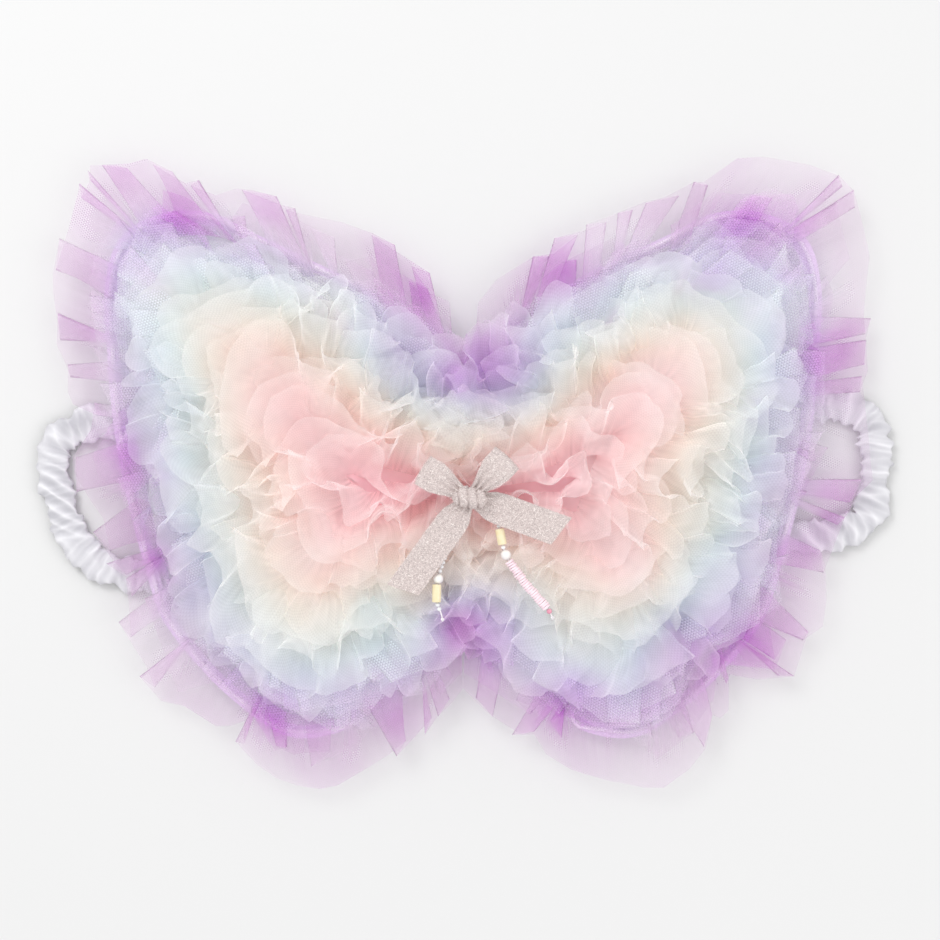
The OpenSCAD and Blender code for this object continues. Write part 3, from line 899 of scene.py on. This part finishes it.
def colours(mat, factor, stops, constant=False):
    """Colours the material by a ramp over factor: (position, sRGB colour) stops."""
    ramp = add_node(mat, "ValToRGB", factor)
    ramp.color_ramp.interpolation = "CONSTANT" if constant else "LINEAR"
    while len(ramp.color_ramp.elements) < len(stops):
        ramp.color_ramp.elements.new(0.5)
    for element, (place, colour) in zip(ramp.color_ramp.elements, stops):
        element.position = place
        element.color = (*linear(colour), 1)
    feed(mat, principled(mat).inputs["Base Color"], ramp.outputs[0])


def relief(mat, heights, depth):
    """Bumps from the sum of the heights; depth in mm."""
    total = heights[0]
    for height in heights[1:]:
        total = maths(mat, "ADD", total, height)
    bump = add_node(mat, "Bump")
    for key, value in (("Strength", 0.8), ("Distance", depth * MM), ("Height", total)):
        feed(mat, bump.inputs[key], value)
    feed(mat, principled(mat).inputs["Normal"], bump.outputs[0])


def cloth(name, colour, dark, thread, depth, roughness=0.8, sheen=0.3, bands="X"):
    """Woven cloth: threads both ways, and a slow mottle between the two colours."""
    mat = surface(name, colour, roughness, sheen)
    mottle = texture(mat, "Noise", thread * 9, detail=5.0)
    colours(mat, mottle.outputs[0], [(0.3, dark), (0.62, colour)])
    warp = texture(mat, "Wave", thread, bands_direction=bands)
    weft = texture(mat, "Wave", thread, bands_direction="Y")
    fuzz = texture(mat, "Noise", thread * 0.7)
    relief(mat, [warp.outputs["Fac"], weft.outputs["Fac"], fuzz.outputs[0]], depth)
    return mat


def glitter_material():
    """Ribbon faced with fine flakes, each tilted and glossed differently, and painted lighter or darker
    as painted glints.
    """
    mat = surface("glitter ribbon", (198, 184, 181), 0.5)
    flakes = texture(mat, "Voronoi", 0.42)
    split = add_node(mat, "SeparateColor", flakes.outputs["Color"])
    # Painted glints: each flake is lighter or darker at random, as if turned to or from the light.
    colours(mat, split.outputs[0], [(0.0, (166, 153, 151)), (0.12, (184, 171, 168)),
                                    (0.36, (196, 182, 179)), (0.64, (206, 193, 190)),
                                    (0.9, (228, 219, 215))], constant=True)
    gloss = maths(mat, "MULTIPLY_ADD", split.outputs[1], 0.4)
    feed(mat, principled(mat).inputs["Roughness"], gloss)
    relief(mat, [split.outputs[2], flakes.outputs["Distance"]], 0.07)
    return mat


def satin_material():
    """Satin coloured by its tint attribute, which on the sleeves holds painted shade in the valleys of
    the folds.
    """
    mat = surface("satin", (232, 230, 236), 0.36, sheen=0.15)
    feed(mat, principled(mat).inputs["Base Color"], attribute(mat, "tint", "Color"))
    crease = texture(mat, "Noise", 3.0, detail=4.0)
    weave = texture(mat, "Wave", 0.3, bands_direction="DIAGONAL")
    fine = maths(mat, "MULTIPLY", weave.outputs["Fac"], 0.06)
    relief(mat, [crease.outputs[0], fine], 0.5)
    return mat


def bead_material(name, colour, other, roughness, coat, clear=0.0, size=2.0):
    """Glossy bead, clouded between two colours."""
    mat = surface(name, colour, roughness, coat=coat)
    principled(mat).inputs["Transmission Weight"].default_value = clear
    cloud = texture(mat, "Noise", size, detail=3.0)
    colours(mat, cloud.outputs[0], [(0.35, other), (0.6, colour)])
    relief(mat, [cloud.outputs[0]], 0.06)
    return mat


def dress(material, *names):
    """Gives CAD nodes that are shown as they are a material."""
    for name in names:
        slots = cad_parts[name].data.materials
        if len(slots):
            for i in range(len(slots)):
                slots[i] = material
        else:
            slots.append(material)


# --- Swept and turned shapes --------------------------------------------------------------------


def along_line(points, spacing):
    """Evenly spaced points on a line, with the lengths at which they lie."""
    s = lengths_along(points)
    places = np.linspace(0, s[-1], max(2, int(round(s[-1] / spacing)) + 1))
    return at_places(places, s, points), places


def tube(path, radius, sides=8):
    """A round cord along a 3-D path, as a grid of rings."""
    tangent = unit(np.gradient(path, axis=0))
    side = unit(np.cross(tangent, [0, 0, 1.0]))
    up = np.cross(side, tangent)
    a = np.linspace(0, 2 * np.pi, sides, endpoint=False)[None, :, None]
    return path[:, None] + radius * (np.cos(a) * side[:, None] + np.sin(a) * up[:, None])


def cap_ends(rings, sides):
    """Faces that close the two ends of a swept tube."""
    last = (rings - 1) * sides
    return [list(range(sides))[::-1], [last + i for i in range(sides)]]


TURNS = 28  # points round a bead


def turned(profile, at, axis):
    """A turned ring of points: profile gives (radius, place along the axis) round a closed section."""
    profile = np.asarray(profile, float)
    side = unit(np.array([-axis[1], axis[0], 0.0]))
    up = np.cross(axis, side)
    a = np.linspace(0, 2 * np.pi, TURNS, endpoint=False)[:, None, None]
    ring = np.cos(a) * side + np.sin(a) * up
    return at + ring * profile[None, :, :1] + profile[None, :, 1:] * axis


def turned_faces(count):
    a = np.arange(TURNS)[:, None]
    b = np.arange(count)[None, :]
    c, d = (a + 1) % TURNS, (b + 1) % count
    return np.stack([a * count + b, a * count + d, c * count + d, c * count + b], -1).reshape(-1, 4)


# --- Bow ----------------------------------------------------------------------------------------

RIBBON_W = 19.0


def from_knot(out, across, up, angle):
    """Places points that are given by how far they lie out from the knot and across the ribbon."""
    a = math.radians(angle)
    x = BOW_AT[0] + out * math.cos(a) - across * math.sin(a)
    y = BOW_AT[1] + out * math.sin(a) + across * math.cos(a)
    return np.stack([x, y, up], axis=-1)


def ribbon(name, side_view, angle, slant, material, seed, node):
    """A length of ribbon, gathered in pleats at the knot, that follows its side view (out, up)."""
    rng = np.random.default_rng(seed)
    path, s = along_line(spline(side_view, 10), 0.7)
    out, up = path[:, :1], path[:, 1:]
    u = np.linspace(-1, 1, 33)[None, :]
    half = np.interp(out, [4, 10, 16, 23], [3.6, 5.2, 7.6, RIBBON_W / 2])
    gather = np.interp(out, [4, 11, 26], [1.7, 1.0, 0.0])
    if slant:
        half = np.interp(out, [4, 9, 13, 19], [4.8, 7.0, 8.8, RIBBON_W / 2])
        gather = 0.6 * gather
    pleats = gather * np.cos(3.2 * np.pi * u + rng.uniform(0, 2 * np.pi) + 0.05 * out)
    reach = out * (1 - slant * u / out.max()) if slant else out - 0.9 * u**2 * (out / out.max()) ** 3
    grid = from_knot(reach, u * half, up + pleats, angle)
    grid[..., 2] += 0.35 * crumple(grid, 14, rng)[..., 2]
    obj = make_mesh(name, grid, grid_faces(*grid.shape[:2]), material)
    declare(obj, "glitter_ribbon", "centre", node)


def bow_knot(material):
    """The middle of the bow: ribbon wrapped over itself in creased, slanting folds."""
    rng = np.random.default_rng(31)
    v = np.sin(np.linspace(-np.pi / 2, np.pi / 2, 61))[:, None]
    a = np.linspace(0, 2 * np.pi, 72, endpoint=False)[None, :]
    size = (1 - np.abs(v) ** 2.4) ** 0.5
    lane = 1.9 * v + 0.30 * np.sin(a + 0.4) + 0.16 * np.sin(2 * a + 1.0)
    fold = np.abs((lane + 0.5) % 1.0 - 0.5)
    bulge = 1.0 + 0.05 * np.cos(3 * a) * size - 0.30 * np.exp(-(fold / 0.10) ** 2)
    y, z = 6.6 * size * bulge * np.cos(a), 5.2 * size * bulge * np.sin(a)
    x = 10.6 * v * np.ones_like(a)
    grid = from_knot(x, y, 53.0 + z, -8)
    grid += 0.3 * crumple(grid, 6, rng) * size[..., None]
    knot = make_mesh("bow_wrap", grid, grid_faces(*grid.shape[:2], closed=True), material)
    weld(knot)
    height = np.linspace(40.4, 50.5, 41)
    radius = 3.2 + 0.25 * np.cos(2 * np.pi * height / 1.1) - 0.5 * np.sin((height - 40) / 10 * np.pi)
    profile = np.column_stack([radius, height - 45])
    profile = np.vstack([profile, [0.3, 5.5], [0.3, -4.6]])
    stem = turned(profile, np.array([*BOW_AT, 45.0]), np.array([0, 0, 1.0]) + [1e-9, 0, 0])
    stem = make_mesh("bow_stitching", stem, turned_faces(len(profile)), material)
    for obj in (knot, stem):
        declare(obj, "glitter_ribbon", "centre", "bow_knot")


def make_bow():
    glitter = glitter_material()
    bow_knot(glitter)
    loop = [(4.5, 51.6), (10, 50.8), (18, 49.2), (26, 48.1), (31.4, 49.2), (33.2, 52.6),
            (31.6, 56.0), (26, 57.0), (17, 56.4), (9.5, 54.6), (4.5, 53.4)]
    ribbon("left_bow_ribbon", loop, 149, 0, glitter, 41, "bow_left_loop")
    ribbon("right_bow_ribbon", loop, 47, 0, glitter, 42, "bow_right_loop")
    for side, angle, length, slant, seed in (("left", 234, 67, 3, 43), ("right", -20, 57.5, -3, 44)):
        k = length / 67
        tail = [(4.5, 50.6), (10, 49.6), (18 * k, 48.6), (30 * k, 48.0), (42 * k, 48.9), (54 * k, 48.1),
                (length, 48.7)]
        ribbon(f"{side}_tail_ribbon", tail, angle, slant, glitter, seed, f"bow_{side}_tail")


# --- Bead strings -------------------------------------------------------------------------------

STRING_Z = 43.5
STRINGS = {
    "left": [(2.5, -18.2), (-1, -23), (-4, -30), (-6, -36), (-8, -41), (-10, -47), (-12, -53),
             (-14, -59), (-15, -65), (-15.5, -71), (-15, -77), (-13, -82), (-12, -86)],
    "right": [(6, -18), (12, -20.5), (17, -23), (20, -27), (21.5, -32), (22.5, -37), (23.5, -42),
              (25.5, -48), (29, -54), (33.5, -60), (38, -66), (42.5, -71), (47, -76), (51, -81),
              (53, -85)],
}
SEED_D, PEARL_D, TUBE_D = 2.6, 6.2, 5.4
THREAD_D = 0.8
# kind, diameter, length and place along its string of each bead
BEADS = {
    "left": [("seed", SEED_D, 0, 23.5 + 2.7 * i) for i in range(8)]
            + [("pearl", PEARL_D, 0, 47.1), ("tube", TUBE_D, 10.6, 55.8)]
            + [("end", SEED_D, 0, 62.7), ("end", SEED_D, 0, 65.4)],
    "right": [("seed", SEED_D, 0, 21.1), ("tube", TUBE_D, 9.6, 27.5), ("seed", SEED_D, 0, 33.9),
              ("pearl", PEARL_D, 0, 38.6), ("end", SEED_D + 0.6, 0, 80.8)]
             + [("disc", TUBE_D, 1.05, 43.3 + 1.5 * i) for i in range(24)],
}
BEAD_NODES = {
    "left": {"seed": "left_seed_beads", "pearl": "left_pearl_bead", "tube": "left_tube_bead",
             "end": "left_end_beads"},
    "right": {"seed": "right_seed_beads", "pearl": "right_pearl_bead", "tube": "right_tube_bead",
              "disc": "right_disc_beads", "end": "right_end_bead"},
}


def bead_section(kind, d, length, rng):
    """A bead's closed section, from the bore's edge over the outside and back through the bore."""
    bore = 0.95 if kind in ("tube", "disc") else 0.65
    r = d / 2
    if kind == "tube":
        h, soft = length / 2, 0.5
        turn = np.linspace(0, np.pi / 2, 5)
        top = [(r - soft + soft * np.sin(t), h - soft + soft * np.cos(t)) for t in turn]
        outer = [(bore, h - 0.25), (bore + 0.25, h)] + top
        return outer + [(a, -b) for a, b in outer[::-1]]
    if kind == "disc":
        h, r = length / 2 + 0.2, r * rng.uniform(0.96, 1.12)
        turn = np.linspace(0, np.pi, 7)
        rim = [(r - h * 0.8 + h * 0.8 * np.sin(t), h * np.cos(t)) for t in turn]
        return [(bore, h * 0.9)] + rim + [(bore, -h * 0.9)]
    start = math.asin(bore / r)
    turn = np.linspace(start, np.pi - start, 21)
    arc = [(r * math.sin(t), r * math.cos(t)) for t in turn]
    if kind == "seed":  # a little squashed, as small glass beads are
        arc = [(a, 0.9 * b) for a, b in arc]
    return arc


def make_beads():
    looks = {
        "seed": bead_material("seed bead glass", (240, 240, 242), (230, 231, 235), 0.1, 0.5),
        "pearl": bead_material("pearl", (232, 230, 225), (222, 214, 217), 0.18, 0.7, size=5.0),
        "tube": bead_material("tube bead", (239, 228, 192), (235, 220, 174), 0.2, 0.5, 0.1, 4.0),
        "disc": bead_material("disc beads", (241, 221, 228), (236, 211, 220), 0.4, 0.2, size=3.0),
        "end_left": bead_material("clear end bead", (232, 233, 236), (220, 222, 228), 0.1, 0.5, 0.08),
        "end_right": bead_material("pink end bead", (222, 152, 172), (214, 132, 156), 0.14, 0.6),
    }
    slots = {"seed": "seed_bead", "pearl": "pearl", "tube": "tube_bead", "disc": "disc_bead"}
    strand = surface("beading thread", (238, 234, 236), 0.6, sheen=0.2)
    lay = texture(strand, "Wave", 0.5, bands_direction="DIAGONAL", detail=2.0)
    # Painted shade: darker down in the grooves of the thread's twist.
    colours(strand, lay.outputs["Fac"], [(0.2, (214, 208, 212)), (0.7, (244, 241, 243))])
    relief(strand, [lay.outputs["Fac"]], 0.12)
    for side in SIDES:
        rng = np.random.default_rng(60 + SIDES[side])
        line = spline([(x, y, STRING_Z) for x, y in STRINGS[side]], 8)
        path, s = along_line(line, 0.6)
        at = lambda place: at_places(place, s, path)
        groups = {}
        for kind, d, length, place in BEADS[side]:
            axis = unit(at(place + 0.7) - at(place - 0.7))
            grid = turned(bead_section(kind, d, length, rng), at(place), axis)
            if kind == "disc":
                grid = grid + np.cross(axis, [0, 0, 1.0]) * rng.uniform(-0.25, 0.25)
                grid = grid + 0.12 * crumple(grid, 4, rng)
            groups.setdefault(kind, []).append(grid)
        for kind, grids in groups.items():
            count, size = grids[0].shape[1], grids[0].shape[0] * grids[0].shape[1]
            faces = turned_faces(count)
            faces = np.vstack([faces + size * i for i in range(len(grids))])
            look = looks.get(kind) or looks[f"{kind}_{side}"]
            obj = make_mesh(f"{side}_{kind}_bead_set", np.array(grids), faces, look)
            slot = slots.get(kind, "seed_bead" if side == "left" else "end_bead")
            declare(obj, slot, f"{side}_bead_string", BEAD_NODES[side][kind])
        turn = np.linspace(0, 2 * np.pi, 61)
        bow = np.column_stack([np.sin(turn) + 2 * np.sin(2 * turn), np.cos(turn) - 2 * np.cos(2 * turn),
                               -np.sin(3 * turn)]) * 0.3
        for name, place in (("start", path[0]), ("end", path[-1])):
            rings = tube(place + bow, 0.3, 6)
            tie = make_mesh(f"{side}_{name}_knot", rings, grid_faces(*rings.shape[:2], closed=True),
                            strand)
            declare(tie, "thread", f"{side}_bead_string", f"{side}_bead_thread")
        rings = tube(path, THREAD_D / 2)
        faces = [list(f) for f in grid_faces(*rings.shape[:2], closed=True)]
        obj = make_mesh(f"{side}_thread", rings, faces + cap_ends(len(path), 8), strand)
        declare(obj, "thread", f"{side}_bead_string", f"{side}_bead_thread")


# --- Arm loops ----------------------------------------------------------------------------------

STRAP_Z = 4.5
SLEEVE_FROM = 70.9
SLEEVE = (22.0, 8.0)  # width and thickness
STRAP_LINES = {
    "left": [(120, 42), (165, 36), (205, 31), (233, 29), (247, 18), (249, 0), (243, -22), (232, -44),
             (216, -58), (190, -62), (150, -62), (110, -60)],
    "right": [(120, 45), (165, 44), (210, 42), (236, 39), (249, 27), (250, 6), (249, -14), (243, -30),
              (226, -36), (195, -40), (150, -48), (110, -54)],
}


def strap_sleeve(side, material):
    """The ruched satin sleeve: gathered on the elastic in uneven folds, with frilled edges."""
    rng = np.random.default_rng(70 + SIDES[side])
    line = [(92.9, 42)] + STRAP_LINES[side] + [(92.9, -58)]
    line = np.vstack([[SLEEVE_FROM, 42], spline(line, 12), [SLEEVE_FROM, -58]])
    path, s = along_line(line, 0.8)
    path = soften(path, 9)
    tangent = unit(np.gradient(path, axis=0))
    side_way = np.column_stack([-tangent[:, 1], tangent[:, 0]])
    a = np.linspace(0, 2 * np.pi, 56, endpoint=False)
    flatness = np.cos(a)[None, :]
    total = np.zeros((len(s), len(a)))
    for wave, deep, skew in ((4.3, 0.30, 1.2), (7.7, 0.55, 1.8), (13.5, 0.75, 2.4)):
        slip = wave * (0.9 * wander(s, 2.2 * wave, rng)[:, None]
                       + 0.5 * skew * flatness * wander(s, 2.2 * wave, rng)[:, None]
                       + 0.3 * np.sign(np.sin(a))[None, :] * np.abs(np.sin(a))[None, :] ** 0.3)
        ridge = 1 - 2 * np.abs(np.sin(np.pi * (s[:, None] + slip) / wave)) ** 0.8
        fade = wander(s, 1.1 * wave, rng)[:, None] * np.cos(a + rng.uniform(0, 6))[None, :]
        fade = 0.5 + 0.5 * fade
        total += deep * ridge * fade
    ends = np.clip(np.minimum(s, s[-1] - s) / 9, 0.35, 1)[:, None]
    wide = SLEEVE[0] / 2 - 0.9 + 1.7 * wander(s, 5.5, rng)[:, None] * np.abs(flatness) ** 3
    frill = 1.9 * np.abs(flatness) ** 5 * wander(s, 3.2, rng)[:, None]
    across = (wide * flatness * np.interp(ends, [0.35, 1], [0.72, 1]) + np.sign(flatness) * frill)
    across = across + 0.55 * total * flatness
    high = SLEEVE[1] / 2 - 0.9
    up = high * np.sign(np.sin(a)) * np.abs(np.sin(a)) ** 0.75 * (0.75 + 0.25 * ends)
    up = up * (1 + 0.18 * wander(s, 9, rng)[:, None]) + 0.8 * total * np.sin(a)[None, :]
    up = up + 0.5 * flatness * wander(s, 8, rng)[:, None]
    sway = 1.2 * wander(s, 12, rng)[:, None]
    xy = path[:, None] + (across + sway)[..., None] * side_way[:, None]
    z = np.maximum(STRAP_Z + up, 0.35 + 0.1 * np.abs(total))
    grid = np.concatenate([xy, z[..., None]], axis=-1)
    grid = grid + 0.9 * crumple(grid, 11, rng) * [1, 1, 0.6]
    grid[..., 2] = np.maximum(grid[..., 2], 0.3)
    grid = grid * [SIDES[side], 1, 1]
    faces = grid_faces(*grid.shape[:2], closed=True)
    if SIDES[side] > 0:
        faces = faces[:, ::-1]
    obj = make_mesh(f"{side}_satin_sleeve", grid, faces, material)
    # Painted shade: greyer down in the valleys of the ruching, full colour on its ridges.
    shade = np.clip(0.62 + 0.7 * total, 0, 1)[..., None]
    add_attributes(obj, linear((178, 177, 183)) * (1 - shade) + linear((224, 223, 227)) * shade)
    declare(obj, "satin", f"{side}_arm_loop", f"{side}_strap_sleeve")


# --- Back pad, and the edge of the wings --------------------------------------------------------

PAD = (120.0, 150.0)
PAD_LOW, PAD_HIGH = 0.1, 9.0
PAD_Y = -8.0
PAD_R = 18.0


def pad_outline(inset):
    """The pad's rounded outline, drawn in by so many mm, with its sides pulled in between corners."""
    w, h, r = PAD[0] / 2 - inset, PAD[1] / 2 - inset, PAD_R - inset * 0.5
    corners = [(w - r, h - r, 0), (r - w, h - r, 90), (r - w, r - h, 180), (w - r, r - h, 270)]
    points = []
    for x, y, start in corners:
        for t in np.radians(np.linspace(start, start + 90, 10)):
            points.append((x + r * math.cos(t), y + r * math.sin(t)))
    points = np.array(points + points[:1])
    points, _ = along_line(points, lengths_along(points)[-1] / 184)
    points = points[:-1]
    pull = 1.2 - 1.2 * np.minimum(np.abs(points[:, 0]) / w, np.abs(points[:, 1]) / h)
    return points * (1 - pull[:, None] / np.array([w, h]))


def pad_form(inset, low, high, crown):
    """A closed crowned form on the pad's outline: rings from the middle of its top to the bottom's."""
    outline = pad_outline(inset)
    shares = np.concatenate([np.linspace(0.0, 0.9, 14), [0.95, 0.98, 1.0]])
    top = [(t, high - crown * t**3) for t in shares]
    bottom = [(t, low + 0.35 * crown * t**6) for t in shares[::-1]]
    middle = [(1.012, 0.5 * (top[-1][1] + bottom[0][1]))]
    rings = [np.column_stack([outline * t, np.full(len(outline), z)])
             for t, z in top + middle + bottom]
    grid = np.array(rings) + [0, PAD_Y, 0]
    return grid, grid_faces(*grid.shape[:2], closed=True)[:, ::-1]


VOXEL = 2.8
PRESSURE = 4
STEPS = 20


def swell(obj, cap, low, high):
    """Fills a closed piece by a short cloth simulation; no point moves more than cap mm."""
    scene = bpy.context.scene
    bpy.context.view_layer.objects.active = obj
    remesh = obj.modifiers.new("remesh", "REMESH")
    remesh.mode = "VOXEL"
    remesh.voxel_size = VOXEL * MM
    bpy.ops.object.modifier_apply(modifier=remesh.name)
    start = np.array([v.co[:] for v in obj.data.vertices])
    fabric = obj.modifiers.new("fabric", "CLOTH")
    fabric.settings.use_pressure = True
    fabric.settings.uniform_pressure_force = PRESSURE
    fabric.settings.effector_weights.gravity = 0
    for number in range(1, STEPS + 1):
        scene.frame_set(number)
    shape = obj.evaluated_get(bpy.context.evaluated_depsgraph_get()).to_mesh()
    end = np.array([v.co[:] for v in shape.vertices])
    obj.modifiers.remove(fabric)
    scene.frame_set(1)
    move = end - start
    size = np.linalg.norm(move, axis=1, keepdims=True)
    end = start + move * np.minimum(1, cap * MM / np.maximum(size, 1e-9))
    end[:, 2] = np.clip(end[:, 2], low * MM, high * MM)
    obj.data.vertices.foreach_set("co", end.astype(np.float32).ravel())
    obj.data.update()
    smooth = obj.modifiers.new("finer", "SUBSURF")
    smooth.levels = smooth.render_levels = 1
    bpy.ops.object.modifier_apply(modifier=smooth.name)
    obj.data.polygons.foreach_set("use_smooth", [True] * len(obj.data.polygons))


def quilt(obj, low, high):
    """Presses the sewn line in from the pad's edge, and the small puckers beside it."""
    outline = pad_outline(11.0)
    tree = KDTree(len(outline))
    for i, (x, y) in enumerate(outline):
        tree.insert((x, y + PAD_Y, 0), i)
    tree.balance()
    co = np.array([v.co[:] for v in obj.data.vertices]) / MM
    middle = 0.5 * (low + high)
    for i, (x, y, z) in enumerate(co):
        _, k, away = tree.find((x, y, 0))
        press = 1.5 * math.exp(-((away / 1.5) ** 2))
        press += 0.28 * math.sin(k * 1.35) * math.exp(-((away - 2.6) / 2.2) ** 2)
        co[i, 2] = z - math.copysign(press, z - middle) * min(1, abs(z - middle) / 2)
    co[:, 2] = np.clip(co[:, 2], low, high)
    obj.data.vertices.foreach_set("co", (co * MM).astype(np.float32).ravel())
    obj.data.update()


def make_pad():
    cover = cloth("brushed cover cloth", (240, 228, 238), (226, 212, 226), 0.9, 0.18, 0.9, 0.5)
    foam = surface("foam", (243, 241, 236), 0.95)
    pores = texture(foam, "Voronoi", 1.1)
    # Painted shade: darker down in the pits of the pores.
    colours(foam, pores.outputs["Distance"], [(0.1, (222, 219, 210)), (0.5, (246, 244, 240))])
    relief(foam, [pores.outputs["Distance"]], 0.5)
    grid, faces = pad_form(3.4, 1.8, 7.4, 1.2)
    core = make_mesh("foam_core", grid, faces, foam)
    weld(core)
    grid, faces = pad_form(1.6, 1.0, 8.0, 2.0)
    pad = make_mesh("pad_cushion", grid, faces, cover)
    weld(pad)
    swell(pad, 3.0, PAD_LOW, PAD_HIGH)
    quilt(pad, PAD_LOW, PAD_HIGH)
    line = pad_outline(0.9)
    line = np.column_stack([line, np.full(len(line), 4.4)]) + [0, PAD_Y, 0]
    rings = tube(np.vstack([line[-3:], line, line[:3]]), 0.85)[3:-3]
    sides = rings.shape[1]
    faces = grid_faces(len(rings) + 1, sides, closed=True) % (len(rings) * sides)
    piping = make_mesh("pad_piping", rings, faces, cover)
    for obj, slot, node in ((core, "foam", "back_pad_foam"), (pad, "pad_cloth", "back_pad_cover"),
                            (piping, "pad_cloth", "back_pad_cover")):
        declare(obj, slot, "centre", node)


def edge_binding(side, material):
    """The satin tape that holds the border to the wire, a little puckered by its stitches."""
    wing = WINGS[side]
    rng = np.random.default_rng(90 + wing.sign)
    inner, outer = wing.line(0.742), wing.line(0.798)
    keep = (inner[:, 0] > 69.9) & (outer[:, 0] > 69.9)
    inner, outer = inner[keep], outer[keep]
    s = lengths_along(outer)
    places = np.linspace(0, s[-1], int(s[-1] / 1.1))
    inner, outer = at_places(places, s, inner), at_places(places, s, outer)
    rows = []
    for t in np.linspace(0, 1, 9):
        edge = abs(2 * t - 1)
        phase = 2 * np.pi * places / (3.4 + 0.5 * t) + 2 * wander(places, 9, rng)
        pucker = 0.3 * edge**2 * np.sin(phase)
        z = 10.3 + pucker - 0.22 * np.exp(-((edge - 0.75) / 0.12) ** 2)
        rows.append(np.column_stack([inner * (1 - t) + outer * t, z]))
    grid = np.array(rows) * [wing.sign, 1, 1]
    obj = make_mesh(f"{side}_binding_tape", grid, grid_faces(*grid.shape[:2]), material)
    add_attributes(obj, np.tile(linear((224, 206, 232)), (grid.shape[0] * grid.shape[1], 1)))
    declare(obj, "binding", f"{side}_wing", f"{side}_edge_binding")


def make_hardware():
    """Materials for the parts that keep their CAD shape, and the sleeves and tapes."""
    wire = surface("covered wire", (238, 232, 240), 0.55, sheen=0.2)
    wraps = texture(wire, "Wave", 0.9, bands_direction="DIAGONAL", distortion=0.6)
    # Painted shade: darker down in the grooves between the wraps.
    colours(wire, wraps.outputs["Fac"], [(0.15, (214, 204, 218)), (0.6, (243, 238, 245))])
    relief(wire, [wraps.outputs["Fac"]], 0.2)
    dress(wire, "left_wire_frame", "right_wire_frame")
    card = surface("card", (236, 234, 236), 0.6)
    fibre = texture(card, "Noise", 1.6, detail=8.0)
    colours(card, fibre.outputs[0], [(0.35, (222, 220, 223)), (0.6, (241, 240, 241))])
    relief(card, [fibre.outputs[0]], 0.12)
    dress(card, "spine_card")
    tape = cloth("woven tape", (240, 238, 243), (224, 221, 229), 0.5, 0.14, 0.7, 0.3, "DIAGONAL")
    dress(tape, "left_hinge_loops", "right_hinge_loops", "left_strap_tabs", "right_strap_tabs")
    elastic = cloth("knitted elastic", (240, 240, 240), (222, 222, 224), 0.8, 0.25, 0.7, 0.2)
    dress(elastic, "left_strap_elastic", "right_strap_elastic")
    satin = satin_material()
    for side in SIDES:
        strap_sleeve(side, satin)
        edge_binding(side, satin)


# --- Build --------------------------------------------------------------------------------------

make_camera()
make_stage()
make_light()
make_tulle()
make_bow()
make_beads()
make_pad()
make_hardware()
